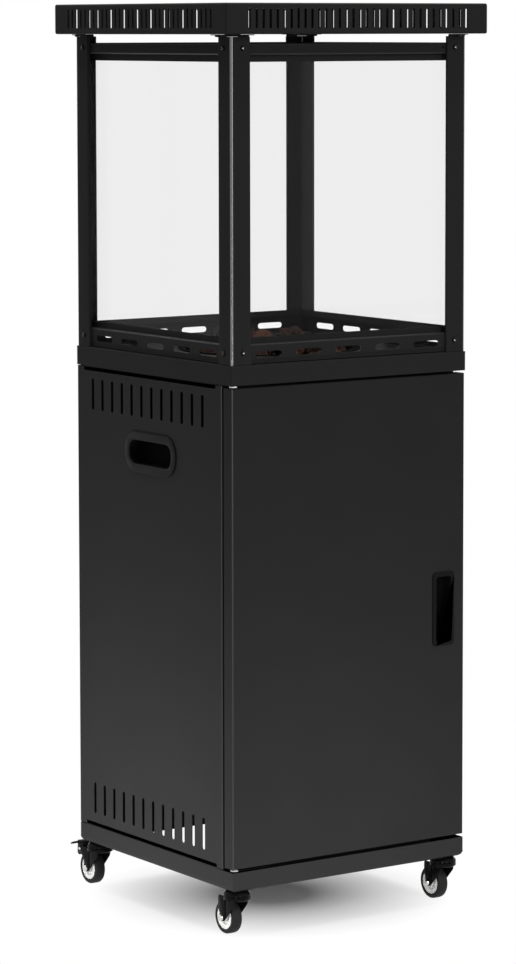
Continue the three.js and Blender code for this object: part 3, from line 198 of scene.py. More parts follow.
class HeaterBurner(bpy.types.PropertyGroup):
    """Burner, stones and screws"""

    ports: number("Ports", 28, "Flame ports in the burner ring")
    port: length("Port", 2.6, "Diameter of a flame port")
    stone: length("Stone", 30, "Size of a lava stone in the heap")
    loose_stone: length("Loose stone", 40, "Size of a lava stone in the pan")
    loose: number("Loose stones", 13, "Stones that lie round the heap in the pan")
    screw: length("Screw head", 7.6, "Diameter of a pan head screw")
    screw_from_corner: length("Screw from the corner", 20, "From a post's corner to its screws")


class HeaterColours(bpy.types.PropertyGroup):
    """Colours of the finishes"""

    black: colour("Black coat", "#2a2a2a", "Powder coat of the door, the frame and the head")
    charcoal: colour("Charcoal coat", "#2d2d2d", "Powder coat of the side panels and the tray")
    plastic: colour("Plastic", "#111111", "Moulded black plastic")
    # Pocket: matt black, which is also painted shade on the floor of a pull cup's pocket.
    pocket: colour("Pocket", "#090909", "Matt inside of a pull cup")
    lacquer: colour("Caster lacquer", "#090909", "Glossy black of the caster forks")
    tyre: colour("Tyre", "#1b1b1b", "Caster tyres")
    hub: colour("Hub", "#c8c8c6", "Caster hubs")
    zinc: colour("Zinc", "#c8c9c7", "Zinc plate of hinges and nuts")
    rust: colour("Rust stone", "#724d3f", "The reddest lava stones")
    grey: colour("Grey stone", "#2f2b2a", "The greyest lava stones")
    glass: colour("Glass", "#f6f6f6", "What one pane of the glass lets through")
    floor: colour("Floor", "#f4f4f4", "The studio floor")


class HeaterStage(bpy.types.PropertyGroup):
    """Lamps of the studio"""

    overhead: watts("Overhead lamp", 120, "Soft lamp above the heater, which lights the floor")
    left: watts("Left lamp", 3.4, "Long low lamp near the floor at the left")
    front: watts("Front lamp", 2.7, "Long low lamp near the floor in front")
    edge: watts("Edge lamp", 46, "Tall soft lamp in front, which shows in the bends")
    glint: watts("Glint lamp", 9, "Small hard lamp, which makes the glints in screws and casters")
    sky: FloatProperty(
        name="Sky", description="Plain light from all round", default=0.21, min=0, max=1, subtype="FACTOR"
    )


GROUPS = {
    "sheet": HeaterSheet,
    "vents": HeaterVents,
    "cups": HeaterCups,
    "casters": HeaterCasters,
    "burner": HeaterBurner,
    "colours": HeaterColours,
    "stage": HeaterStage,
}


def settings(group):
    """A group of settings of the scene."""
    return getattr(bpy.context.scene, "heater_" + group)


def sizes(group):
    """A group of sizes, with its lengths in millimetres and its counts as they are."""
    chosen = settings(group)
    values = {name: getattr(chosen, name) for name in type(chosen).__annotations__}
    values = {name: value / MM if isinstance(value, float) else value for name, value in values.items()}
    return SimpleNamespace(**values)


# Lengths and boxes


def metres(*millimetres):
    """A point or size in millimetres, as Blender's metres."""
    return Vector([value * MM for value in millimetres])


def node_box(node):
    """Lowest and highest corner of a CAD node, in millimetres."""
    low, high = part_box(node)
    return low / MM, high / MM


def middle_of(node):
    """The middle of a CAD node, in millimetres."""
    low, high = node_box(node)
    return (low + high) / 2


def body_of(node):
    """The body that a CAD node rides on."""
    bodies = frame["record"]["behaviour"]["bodies"]
    return next(body for body, nodes in bodies.items() if node in nodes)


def joint_place(name):
    """A place on a joint's axis, in millimetres."""
    joint = next(joint for joint in frame["joints"] if joint["name"] == name)
    return [value / MM for value in joint["pos_m"]]


def ring_spots(count, radius, start=0):
    """Places spaced evenly round the upright axis, as (x, y)."""
    angles = [2 * math.pi * (index + start) / count for index in range(count)]
    return [(radius * math.cos(angle), radius * math.sin(angle)) for angle in angles]


# Modelling


def only(piece):
    """Makes one piece the active object and the only one selected."""
    bpy.ops.object.select_all(action="DESELECT")
    piece.select_set(True)
    bpy.context.view_layer.objects.active = piece
    return piece


def named(name):
    """The object that was just added, under its own name."""
    piece = bpy.context.object
    piece.name = name
    piece.data.name = name
    return piece


def fixed():
    """Puts the active object's place, turn and size in its mesh."""
    bpy.ops.object.transform_apply(location=True, rotation=True, scale=True)


def editing(piece, kind="FACE", action="DESELECT"):
    """Opens a piece in edit mode with nothing or everything selected."""
    only(piece)
    bpy.ops.object.mode_set(mode="EDIT")
    bpy.ops.mesh.select_mode(type=kind)
    bpy.ops.mesh.select_all(action=action)


def done(piece):
    """Leaves edit mode."""
    bpy.ops.object.mode_set(mode="OBJECT")
    return piece


def welded(piece):
    """Merges doubled points, turns the faces outwards and leaves edit mode."""
    bpy.ops.mesh.select_all(action="SELECT")
    bpy.ops.mesh.remove_doubles(threshold=SLIGHT * MM)
    bpy.ops.mesh.normals_make_consistent(inside=False)
    return done(piece)


def pick(piece, kind, test):
    """Selects the faces, or the edges and their points, whose middle, direction and corners pass a test."""
    done(piece)
    editing(piece, kind)
    done(piece)
    mesh = piece.data
    for item in mesh.polygons if kind == "FACE" else mesh.edges:
        corners = [mesh.vertices[index].co / MM for index in item.vertices]
        middle = sum(corners, Vector((0, 0, 0))) / len(corners)
        way = item.normal if kind == "FACE" else (corners[1] - corners[0]).normalized()
        item.select = bool(test(middle, way, corners))
    bpy.ops.object.mode_set(mode="EDIT")


def parallel(axis):
    """A test for edges that lie along an axis."""
    return lambda middle, way, corners: abs(way[WAY[axis]]) > 1 - SLIGHT


def level(axis, value):
    """A test for edges and faces that lie in the plane at a place on an axis."""
    return lambda middle, way, corners: all(abs(corner[WAY[axis]] - value) < SLIGHT for corner in corners)


def bevel(radius, segments=3):
    """Rounds the selected edges."""
    bpy.ops.mesh.bevel(offset=radius * MM, offset_type="OFFSET", segments=segments, profile=0.5, affect="EDGES")


def block(name, low, high):
    """A block between two corners, in millimetres."""
    low, high = Vector(low), Vector(high)
    bpy.ops.mesh.primitive_cube_add(size=1, location=metres(*((low + high) / 2)))
    bpy.context.object.scale = metres(*(high - low))
    fixed()
    return named(name)


def rounded_block(name, low, high, axis, radius, segments=6):
    """A block with the four edges along an axis rounded, such as the punch of a slot."""
    piece = block(name, low, high)
    pick(piece, "EDGE", parallel(axis))
    bevel(radius, segments)
    return welded(piece)


def rod(name, diameter, low, high, axis="z", place=(0, 0), segments=32):
    """A round bar along an axis from low to high, at a place on the two other axes."""
    middle = (low + high) / 2
    spots = {"x": (middle, *place), "y": (place[0], middle, place[1]), "z": (*place, middle)}
    turns = {"x": (0, math.pi / 2, 0), "y": (math.pi / 2, 0, 0), "z": (0, 0, 0)}
    bpy.ops.mesh.primitive_cylinder_add(
        vertices=segments, radius=diameter / 2 * MM, depth=(high - low) * MM,
        location=metres(*spots[axis]), rotation=turns[axis],
    )
    fixed()
    return named(name)


def turned(name, rings, segments=48, hollow=False):
    """A piece turned about the upright axis: a disc, extruded and scaled through (radius, height) rings."""
    radius, height = rings[0]
    bpy.ops.mesh.primitive_circle_add(
        vertices=segments, radius=radius * MM, fill_type="NOTHING" if hollow else "NGON", location=metres(0, 0, height)
    )
    piece = named(name)
    fixed()
    editing(piece, "EDGE" if hollow else "FACE", "SELECT")
    extrude = bpy.ops.mesh.extrude_edges_move if hollow else bpy.ops.mesh.extrude_region_move
    for next_radius, next_height in rings[1:]:
        extrude(TRANSFORM_OT_translate={"value": metres(0, 0, next_height - height)})
        share = next_radius / radius
        bpy.ops.transform.resize(value=(share, share, 1), center_override=metres(0, 0, next_height))
        radius, height = next_radius, next_height
    return ordered(welded(piece))


def ordered(piece):
    """Puts a mesh's parts in a fixed order. An extruded, spun or cut mesh comes in another order each time."""
    bpy.context.scene.cursor.location = ORDER_POINT
    editing(piece, "VERT", "SELECT")
    bpy.ops.mesh.sort_elements(type="CURSOR_DISTANCE", elements={"VERT", "EDGE", "FACE"})
    return done(piece)


def placed(piece, place=(0, 0, 0), turn=(0, 0, 0)):
    """Turns a piece by degrees and moves it by millimetres, and puts both in its mesh."""
    only(piece)
    piece.rotation_euler = Euler([math.radians(angle) for angle in turn])
    piece.location = metres(*place)
    fixed()
    return piece


def copied(piece, name, place=(0, 0, 0), turn=(0, 0, 0)):
    """A copy of a piece with its own mesh, turned and moved."""
    only(piece)
    bpy.ops.object.duplicate()
    return placed(named(name), place, turn)


def mirrored(piece, name):
    """A copy of a piece for the other side of the heater."""
    twin = copied(piece, name)
    twin.scale.x = -1
    fixed()
    editing(twin, "FACE", "SELECT")
    bpy.ops.mesh.flip_normals()
    return done(twin)


def joined(pieces, name):
    """Several pieces made one."""
    bpy.ops.object.select_all(action="DESELECT")
    for piece in pieces:
        piece.select_set(True)
    bpy.context.view_layer.objects.active = pieces[0]
    if len(pieces) > 1:
        bpy.ops.object.join()
    return named(name)


def applied(piece, kind, **choices):
    """Adds a modifier and applies it."""
    only(piece)
    modifier = piece.modifiers.new(kind.title(), kind)
    for choice, value in choices.items():
        setattr(modifier, choice, value)
    bpy.ops.object.modifier_apply(modifier=modifier.name)
    return piece


def walled(piece, thickness, side=-1):
    """Gives an open shell its wall."""
    return applied(piece, "SOLIDIFY", thickness=thickness * MM, offset=side, use_even_offset=True)


def cut(piece, punches):
    """Cuts several punches out of a piece."""
    punch = joined(punches, "punch")
    applied(piece, "BOOLEAN", object=punch, operation="DIFFERENCE", solver="EXACT")
    bpy.data.objects.remove(punch)
    return piece


def smoothed(piece, angle=40):
    """Smooth shading, broken at the sharp edges."""
    only(piece)
    bpy.ops.object.shade_smooth_by_angle(angle=math.radians(angle))
    return piece


def eased(piece, width=None, angle=50):
    """Breaks a piece's sharp edges, and shades its bends smooth and its flats flat."""
    width = width or sizes("sheet").broken_edge
    applied(
        piece, "BEVEL", width=width * MM, segments=1, limit_method="ANGLE", angle_limit=math.radians(60),
        use_clamp_overlap=True,
    )
    smoothed(piece, angle)
    return applied(piece, "WEIGHTED_NORMAL", keep_sharp=True, weight=50)


def node_copy(node, name):
    """A merged copy of a CAD node, in plain faces."""
    only(frame["nodes"][node])
    bpy.ops.object.duplicate()
    piece = named(name)
    piece.parent = None
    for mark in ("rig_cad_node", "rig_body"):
        del piece[mark]
    editing(piece, "FACE", "SELECT")
    bpy.ops.mesh.remove_doubles(threshold=SLIGHT * MM)
    bpy.ops.mesh.dissolve_limited(angle_limit=math.radians(0.5))
    return done(piece)


def folded_strip(name, path, low, high, thickness, side=1):
    """Sheet folded along a path of (x, z) points, running along Y from low to high."""
    (x, z), *further = path
    bpy.ops.mesh.primitive_plane_add(size=MM)
    piece = named(name)
    editing(piece, "VERT", "SELECT")
    bpy.ops.mesh.merge(type="CENTER")
    bpy.ops.transform.translate(value=metres(x, low, z))
    bpy.ops.mesh.extrude_vertices_move(TRANSFORM_OT_translate={"value": metres(0, high - low, 0)})
    bpy.ops.mesh.select_mode(type="EDGE")
    bpy.ops.mesh.select_all(action="SELECT")
    for next_x, next_z in further:
        bpy.ops.mesh.extrude_edges_move(TRANSFORM_OT_translate={"value": metres(next_x - x, 0, next_z - z)})
        x, z = next_x, next_z
    return walled(done(piece), thickness, side)


def folded_pan(name, low, high, axis, side, bends, lip=0):
    """A pan of folded sheet, open to one side of an axis, where a lip may turn in. Bends are (edges, radius)."""
    along = WAY[axis]
    sheet = sizes("sheet").sheet

    def formed(piece, inset):
        for edges, radius in bends:
            pick(piece, "EDGE", edges(inset))
            bevel(radius - inset, 5)
        return done(piece)

    outer = formed(block(name, low, high), 0)
    skin = Vector([sheet] * 3)
    hollow = [Vector(low) + skin, Vector(high) - skin]
    mouth = [corner.copy() for corner in hollow]
    mouth[1 if side > 0 else 0][along] += 2 * side * sheet
    if not lip:
        return cut(outer, [formed(block("hollow", *mouth), sheet)])
    cut(outer, [formed(block("hollow", *hollow), sheet)])
    for index in range(3):
        if index != along:
            mouth[0][index], mouth[1][index] = low[index] + lip, high[index] - lip
    return cut(outer, [block("mouth", *mouth)])


def every_edge(inset):
    """All the edges of a block."""
    return lambda middle, way, corners: True


def along(axis):
    """The edges of a block that lie along an axis."""
    return lambda inset: parallel(axis)


def around(axis, value, way):
    """The edges of a block's face at a place on an axis. The face moves inwards by the sheet's thickness."""
    return lambda inset: level(axis, value + way * inset)


def rounded_points(corners, steps=6):
    """The points of a closed outline through corners (x, y, radius)."""
    points = []
    for index, (x, y, radius) in enumerate(corners):
        here = Vector((x, y))
        before = Vector(corners[index - 1][:2])
        after = Vector(corners[(index + 1) % len(corners)][:2])
        enter, leave = (here - before).normalized(), (after - here).normalized()
        turn = math.atan2(enter.x * leave.y - enter.y * leave.x, enter.dot(leave))
        if not radius or abs(turn) < SLIGHT:
            points.append(here)
            continue
        start = here - enter * radius * math.tan(abs(turn) / 2)
        centre = start + Vector((-enter.y, enter.x)) * math.copysign(radius, turn)
        arm = start - centre
        for step in range(steps + 1):
            angle = turn * step / steps
            cosine, sine = math.cos(angle), math.sin(angle)
            points.append(centre + Vector((arm.x * cosine - arm.y * sine, arm.x * sine + arm.y * cosine)))
    return points


def curve_piece(name, points, closed, **choices):
    """A curve through points, in millimetres, made a mesh."""
    outline = bpy.data.curves.new(name, "CURVE")
    for choice, value in choices.items():
        setattr(outline, choice, value)
    spline = outline.splines.new("POLY")
    spline.points.add(len(points) - 1)
    for point, place in zip(spline.points, points):
        point.co = (*metres(*place), 1)
    spline.use_cyclic_u = closed
    piece = bpy.data.objects.new(name, outline)
    bpy.context.collection.objects.link(piece)
    only(piece)
    bpy.ops.object.convert(target="MESH")
    piece = named(name)
    editing(piece, "FACE", "SELECT")
    return welded(piece)


def plate(name, corners, thickness, edge=0.3):
    """A flat plate of a rounded outline, drawn in its own X and Y, with broken edges."""
    points = [(point.x, point.y, 0) for point in rounded_points(corners)]
    return curve_piece(
        name, points, True, dimensions="2D", fill_mode="BOTH", extrude=(thickness / 2 - edge) * MM,
        bevel_depth=edge * MM, bevel_resolution=1, offset=-edge * MM,
    )


def bent_tube(name, path, diameter):
    """A tube along a path of (corner, radius), whose bends are right angles."""
    points = [path[0][0]]
    for (before, _), (here, radius), (after, _) in zip(path, path[1:], path[2:]):
        enter, leave = (here - before).normalized(), (after - here).normalized()
        centre = here + (leave - enter) * radius
        for step in range(9):
            angle = math.pi / 2 * step / 8
            points.append(centre + (enter * math.sin(angle) - leave * math.cos(angle)) * radius)
    points.append(path[-1][0])
    return curve_piece(
        name, points, False, dimensions="3D", bevel_depth=diameter / 2 * MM, bevel_resolution=6, use_fill_caps=True
    )


def nut(name, flats, height, edge=0.8):
    """A hexagonal nut or bolt head that stands on its own floor, with a chamfered top."""
    piece = rod(name, flats / math.cos(math.pi / 6), 0, height, segments=6)
    pick(piece, "EDGE", level("z", height))
    bevel(edge, 2)
    return done(piece)


def painted(piece, finish):
    """Gives a piece one finish."""
    piece.data.materials.clear()
    piece.data.materials.append(finishes[finish])
    return piece


def refinished(piece, finish, test):
    """Gives a painted piece a second finish, on the faces that pass a test."""
    piece.data.materials.append(finishes[finish])
    for face in piece.data.polygons:
        face.material_index = int(test(face))
    return piece


def finished(pairs, angle=35):
    """Smooths and paints pieces, which come as (piece, finish) pairs."""
    return [painted(smoothed(piece, angle), finish) for piece, finish in pairs]


def coated(piece, finish, bends="_edge", test=lambda middle: True):
    """Powder coat on folded sheet: its flats, and its slanted faces that pass a test, where the coat is glossier."""

    def glossy(face):
        slanted = max(abs(part) for part in face.normal) < FLAT
        return slanted and test(face.center / MM) and (bends == "_ledge" or abs(face.normal.z) <= UPRIGHT)

    return refinished(painted(piece, finish), finish + bends, glossy)


def riding(piece, nodes, body=None):
    """Lets a finished piece ride on a body and stand for its CAD nodes."""
    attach(piece, body or body_of(nodes[0]))
    if nodes:
        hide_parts(*nodes)
    return piece


# Finishes


def plug(tree, node, inputs):
    """Sets a shader node's inputs: values, or links as (node, output) pairs."""
    for socket, value in inputs.items():
        if isinstance(value, tuple) and hasattr(value[0], "outputs"):
            tree.links.new(value[0].outputs[value[1]], node.inputs[socket])
        else:
            node.inputs[socket].default_value = value


def add_node(tree, kind, choices=None, inputs=None):
    """Adds a shader node with its settings, its values and its links."""
    node = tree.nodes.new(kind)
    for choice, value in (choices or {}).items():
        setattr(node, choice, value)
    plug(tree, node, inputs or {})
    return node


def new_finish(name, shade, **values):
    """A material with a Principled shader. Returns the material, its tree, its shader and its own coordinates."""
    material = bpy.data.materials.new(name)
    material.use_nodes = True
    tree = material.node_tree
    shader = tree.nodes["Principled BSDF"]
    named_values = {socket.replace("_", " ").title().replace("Ior", "IOR"): value for socket, value in values.items()}
    plug(tree, shader, {"Base Color": (*shade, 1), **named_values})
    place = (add_node(tree, "ShaderNodeTexCoord"), "Object")
    return material, tree, shader, place


def per(millimetres):
    """A pattern's scale for grain of a real size."""
    return 1 / (millimetres * MM)


def share_of(shade, share):
    """A darker or lighter share of a colour, for a socket."""
    return (*[min(1, part * share) for part in shade], 1)


def powder_coat(name, shade, sheen, low, high, gloss=0):
    """Polyester powder coat, baked on folded steel: satin, with an orange peel drawn large so that it shows."""
    peel_size, peel_depth, drift_size = 1.6, 0.03 * MM, 90
    material, tree, shader, place = new_finish(
        name, shade, specular_ior_level=sheen, coat_weight=gloss, coat_roughness=low
    )
    peel = add_node(tree, "ShaderNodeTexNoise", None, {"Vector": place, "Scale": per(peel_size), "Detail": 3.0})
    drift = add_node(tree, "ShaderNodeTexNoise", None, {"Vector": place, "Scale": per(drift_size), "Detail": 1.0})
    tint = add_node(
        tree, "ShaderNodeMix", {"data_type": "RGBA"},
        {"Factor": (drift, "Fac"), "A": share_of(shade, 0.94), "B": share_of(shade, 1.07)},
    )
    satin = add_node(tree, "ShaderNodeMapRange", None, {"Value": (peel, "Fac"), "To Min": low, "To Max": high})
    skin = add_node(tree, "ShaderNodeBump", None, {"Height": (peel, "Fac"), "Distance": peel_depth, "Strength": 0.3})
    plug(tree, shader, {"Base Color": (tint, "Result"), "Roughness": (satin, "Result"), "Normal": (skin, "Normal")})
    return material


def moulded(name, shade, roughness, sheen=0.5, size=0.9, height=0.02):
    """Injection-moulded plastic: even colour, with the fine spark-eroded skin of its mould."""
    material, tree, shader, place = new_finish(name, shade, roughness=roughness, specular_ior_level=sheen)
    spark = add_node(tree, "ShaderNodeTexNoise", None, {"Vector": place, "Scale": per(size), "Detail": 4.0})
    tint = add_node(
        tree, "ShaderNodeMix", {"data_type": "RGBA"},
        {"Factor": (spark, "Fac"), "A": share_of(shade, 0.8), "B": share_of(shade, 1.25)},
    )
    skin = add_node(
        tree, "ShaderNodeBump", None, {"Height": (spark, "Fac"), "Distance": height * MM, "Strength": 0.4}
    )
    plug(tree, shader, {"Base Color": (tint, "Result"), "Normal": (skin, "Normal")})
    return material


def bare_metal(name, shade, roughness, size=3.0, dark=0.8):
    """Bare or plated metal: mirror-like, with faint clouds from its bath, its heat or its tool."""
    material, tree, shader, place = new_finish(name, shade, metallic=1.0)
    cloud = add_node(tree, "ShaderNodeTexNoise", None, {"Vector": place, "Scale": per(size), "Detail": 3.0})
    tint = add_node(
        tree, "ShaderNodeMix", {"data_type": "RGBA"},
        {"Factor": (cloud, "Fac"), "A": share_of(shade, dark), "B": share_of(shade, 1)},
    )
    gloss = add_node(
        tree, "ShaderNodeMapRange", None,
        {"Value": (cloud, "Fac"), "To Min": roughness * 0.8, "To Max": roughness * 1.3},
    )
    plug(tree, shader, {"Base Color": (tint, "Result"), "Roughness": (gloss, "Result")})
    return material


def float_glass(name, shade):
    """Toughened float glass: clear and flat, a little grey, with the faintest wipe marks in its gloss.

    Its index of refraction is well below that of real glass, so that the white background shows through it.
    """
    wipe_size, clear_ior = 60, 1.12
    material, tree, shader, place = new_finish(name, shade, transmission_weight=1.0, ior=clear_ior)
    wiped = add_node(tree, "ShaderNodeTexNoise", None, {"Vector": place, "Scale": per(wipe_size), "Detail": 2.0})
    gloss = add_node(tree, "ShaderNodeMapRange", None, {"Value": (wiped, "Fac"), "To Min": 0.0, "To Max": 0.02})
    plug(tree, shader, {"Roughness": (gloss, "Result")})
    return material


def lava_stone(name, shade):
    """Broken volcanic rock: dull and porous. Its colour follows the noise that raises its bumps, so it is darker in its
    low pits as painted shade and lighter on its ridges.
    """
    crumb_size, pore_size, pore_depth = 4.0, 2.4, 0.9 * MM
    material, tree, shader, place = new_finish(name, shade, roughness=0.95, specular_ior_level=0.2)
    crumb = add_node(
        tree, "ShaderNodeTexNoise", None,
        {"Vector": place, "Scale": per(crumb_size), "Detail": 6.0, "Roughness": 0.7},
    )
    # Painted shade: the colour darkens where the bumps are low.
    painted_pit_shade = add_node(tree, "ShaderNodeMapRange", None, {"Value": (crumb, "Fac"), "From Min": 0.3, "From Max": 0.75})
    tint = add_node(
        tree, "ShaderNodeMix", {"data_type": "RGBA"},
        {"Factor": (painted_pit_shade, "Result"), "A": share_of(shade, 0.35), "B": share_of(shade, 1.3)},
    )
    pores = add_node(tree, "ShaderNodeTexVoronoi", None, {"Vector": place, "Scale": per(pore_size)})
    rough = add_node(tree, "ShaderNodeMath", {"operation": "ADD"}, {0: (pores, "Distance"), 1: (crumb, "Fac")})
    skin = add_node(tree, "ShaderNodeBump", None, {"Height": (rough, "Value"), "Distance": pore_depth, "Strength": 0.8})
    plug(tree, shader, {"Base Color": (tint, "Result"), "Normal": (skin, "Normal")})
    return material


finishes = {}


def make_finishes():
    """All the finishes, by the names that the pieces use."""
    shades = settings("colours")

    def shade(code):
        return linear(code)[:3]

    makers = {
        powder_coat: (
            ("black", "powder_coated_steel_black", shades.black, 0.02, 0.42, 0.54),
            ("black_bend", "powder_coated_steel_black_bends", shades.black, 1.0, 0.18, 0.28, 1.0),
            ("black_edge", "powder_coated_steel_black_edges", shades.black, 0.35, 0.3, 0.4),
            ("black_ledge", "powder_coated_steel_black_ledges", shades.black, 0.18, 0.34, 0.44),
            ("charcoal", "powder_coated_steel_charcoal", shades.charcoal, 0.02, 0.42, 0.54),
            ("charcoal_edge", "powder_coated_steel_charcoal_edges", shades.charcoal, 0.35, 0.3, 0.4),
            ("stove", "heat_proof_paint_black", shade("#171514"), 0.01, 0.8, 0.9),
        ),
        moulded: (
            ("plastic", "moulded_abs_black", shades.plastic, 0.3, 0.06),
            # This matt black is painted shade on the floor of a pull cup's pocket, and plain matt black on the hinges
            # and the pedals.
            ("pocket", "moulded_abs_black_matt", shades.pocket, 0.8, 0.03),
            ("mark", "moulded_abs_white", shade("#d8d8d4"), 0.5),
            ("tyre", "thermoplastic_rubber_black", shades.tyre, 0.6, 0.14, 0.6, 0.03),
            ("hub", "moulded_nylon_pale_grey", shades.hub, 0.42),
            ("lacquer", "stoved_lacquer_black", shades.lacquer, 0.12, 0.06, 2.0, 0.01),
            ("ceramic", "glazed_ceramic_white", shade("#dedad0"), 0.25),
            # The ground edge's dark grey is partly painted shade beside the posts.
            ("ground", "ground_glass_edge", shade("#303230"), 0.7, 0.1),
        ),
        bare_metal: (
            ("zinc", "zinc_plated_steel", shades.zinc, 0.3),
            ("bright", "nickel_plated_steel", shade("#e2e2de"), 0.16),
            ("blackened", "black_zinc_plated_steel", shade("#1c1c1c"), 0.3),
            ("stainless", "stainless_steel_heat_tinted", shade("#4e4842"), 0.4, 12.0, 0.6),
            ("brass", "turned_brass", shade("#c9a75c"), 0.26),
        ),
        float_glass: (("glass", "toughened_float_glass", shades.glass),),
        lava_stone: (
            ("rust", "lava_stone_rust_red", shades.rust),
            ("brown", "lava_stone_brown", shade("#48342e")),
            ("grey", "lava_stone_grey", shades.grey),
        ),
    }
    for maker, entries in makers.items():
        for key, *choices in entries:
            finishes[key] = maker(*choices)


# Cabinet


def make_side_panels():
    """The side panels: folded skins with their vents, the holes of their grips and their joggled tongues."""
    metal, vents, cups = sizes("sheet"), sizes("vents"), sizes("cups")
    low, high = node_box("left_side_panel")
    top = node_box("burner_deck")[0].z - metal.side_gap
    bottom = node_box("base_tray")[1].z + metal.side_gap
    skin = block("left_side_skin", (low.x, low.y, bottom), (high.x, high.y, top))
    pick(skin, "FACE", lambda middle, way, corners: way.x > 1 - SLIGHT or abs(way.z) > 1 - SLIGHT)
    bpy.ops.mesh.delete(type="FACE")
    pick(skin, "EDGE", lambda middle, way, corners: abs(way.z) > 1 - SLIGHT and middle.x < low.x + SLIGHT)
    bevel(metal.bend, 6)
    walled(done(skin), metal.sheet)

    outside, inside = low.x - metal.sheet, low.x + 2 * metal.sheet
    punches = []
    for height in (top - vents.from_top, bottom + vents.from_bottom):
        for index in range(vents.count):
            y = high.y - vents.from_rear - index * vents.pitch
            half = Vector((0, vents.width / 2, vents.height / 2))
            ends = Vector((outside, y, height)) - half, Vector((inside, y, height)) + half
            punches.append(rounded_block("vent", *ends, "x", vents.width / 2 - SLIGHT))
    grip_low, grip_high = node_box("left_hand_grip")
    margin = (grip_high.z - grip_low.z - cups.grip_mouth) / 2 - cups.wall
    punches.append(
        rounded_block("grip_hole", (outside, grip_low.y + margin, grip_low.z + margin),
                      (inside, grip_high.y - margin, grip_high.z - margin), "x", cups.grip_mouth_corner)
    )
    cut(skin, punches)

    overlap, joggle, from_front, from_rear = 6, 3, 15, 20
    behind = low.x + metal.sheet + 0.4
    tongues = []
    for end, edge, step in ((low.z, bottom, 1), (high.z, top, -1)):
        path = [(low.x, edge + overlap * step), (low.x, edge), (behind, edge - joggle * step), (behind, end)]
        tongue = folded_strip("tongue", path, low.y + from_front, high.y - from_rear, metal.sheet, -step)
        tongues.append(placed(tongue, (metal.sheet, 0, 0)))
    left = joined([skin, *tongues], "left_side_panel_skin")
    right = mirrored(left, "right_side_panel_skin")
    for side, piece in (("left", left), ("right", right)):
        riding(eased(coated(piece, "charcoal")), [f"{side}_side_panel"])


def make_base_tray():
    """The tray under the cabinet, with its vent and the holes of the caster stems."""
    metal = sizes("sheet")
    low, high = node_box("base_tray")
    bends = [(around("z", low.z, 1), metal.tray_bend), (along("z"), metal.bend)]
    tray = folded_pan("tray_pan", low, high, "z", 1, bends)
    below, above = low.z - metal.sheet, low.z + 2 * metal.sheet
    half, front, from_rear, corner_radius, clearance = 97, 40, 16, 8, 1
    vent_ends = (-half, front, below), (half, high.y - from_rear, above)
    punches = [rounded_block("floor_vent", *vent_ends, "z", corner_radius)]
    for corner in CORNERS:
        stem = middle_of(f"caster_cup_{corner}")
        punches.append(rod("stem_hole", sizes("casters").stem + clearance, below, above, "z", (stem.x, stem.y)))
    cut(tray, punches)
    riding(painted(eased(tray), "charcoal"), ["base_tray"])


def make_door():
    """The door: a pan with a turned-in lip, holes for its hinge pins and the hole of its handle."""
    metal = sizes("sheet")
    low, high = node_box("door_panel")
    face_bend, rim, pin_hole, deep = metal.bend * 1.2, 3, 7.2, 2 * metal.sheet
    door = folded_pan("door_pan", low, high, "y", 1, [(around("y", low.y, 1), face_bend)], metal.door_lip)
    low_handle, high_handle = node_box("door_handle")
    punches = [
        rounded_block("handle_hole", (low_handle.x + rim, low.y - deep, low_handle.z + rim),
                      (high_handle.x - rim, low.y + deep, high_handle.z - rim), "y", sizes("cups").handle_corner)
    ]
    pin = joint_place("door_hinge")
    for height in (low.z, high.z):
        punches.append(rod("pin_hole", pin_hole, height - deep, height + deep, "z", (pin[0], pin[1])))
    cut(door, punches)
    riding(eased(coated(door, "black")), ["door_panel"])


def make_sheets(nodes, bends="_edge", test=lambda middle: True):
    """Pieces that keep the CAD's own folds: brackets and frames, with their edges broken and coated."""
    for node in nodes:
        riding(eased(coated(node_copy(node, f"{node}_sheet"), "black", bends, test)), [node])


def make_cabinet_back():
    """The rear panel, the frame behind the door, the control panel, the hinges and the magnet."""
    rear = eased(node_copy("rear_panel", "rear_panel_sheet"))
    riding(coated(rear, "black"), ["rear_panel"])
    make_sheets(["door_frame", "control_panel"])
    for node in ("upper_hinge_plate", "lower_hinge_plate"):
        make_hinge(node)

    catch = painted(eased(node_copy("magnet_catch", "magnet_housing"), 0.5), "plastic")
    low, high = node_box("magnet_catch")
    margin, width, proud, deep, from_end = 2.6, 1.2, 0.2, 3, 14
    poles = []
    for x in (low.x + margin, high.x - margin - width):
        pole = block("pole", (x, low.y - proud, low.z + from_end), (x + width, low.y + deep, high.z - from_end))
        poles.append(painted(eased(pole), "bright"))
    riding(joined([catch, *poles], "magnet_housing_and_poles"), ["magnet_catch"])

    diameter, from_edge, shares = 6.4, 7, (0.06, 0.35, 0.65, 0.94)
    screw = pan_head("panel_screw", diameter)
    side_low, side_high = node_box("left_side_panel")
    heads = []
    for side in (-1, 1):
        for share in shares:
            height = side_low.z + (side_high.z - side_low.z) * share
            spot = (side * (side_high.y - from_edge), side_high.y, height)
            heads.append(copied(screw, "panel_screw_copy", spot, (-90, 0, 0)))
    bpy.data.objects.remove(screw)
    riding(joined(heads, "rear_panel_screws"), [], "cabinet")


def make_hinge(node):
    """A hinge plate: its tip is bright zinc where the door's coat stops, and the rest is matt black."""
    bare = 9
    tip = node_box(node)[0].x + bare
    hinge = node_copy(node, f"{node}_bracket")
    editing(hinge, "FACE", "SELECT")
    bpy.ops.mesh.bisect(plane_co=metres(tip, 0, 0), plane_no=(1, 0, 0))
    ordered(done(hinge))
    painted(eased(hinge, 0.3), "zinc")
    riding(refinished(hinge, "pocket", lambda face: face.center.x > tip * MM), [node])


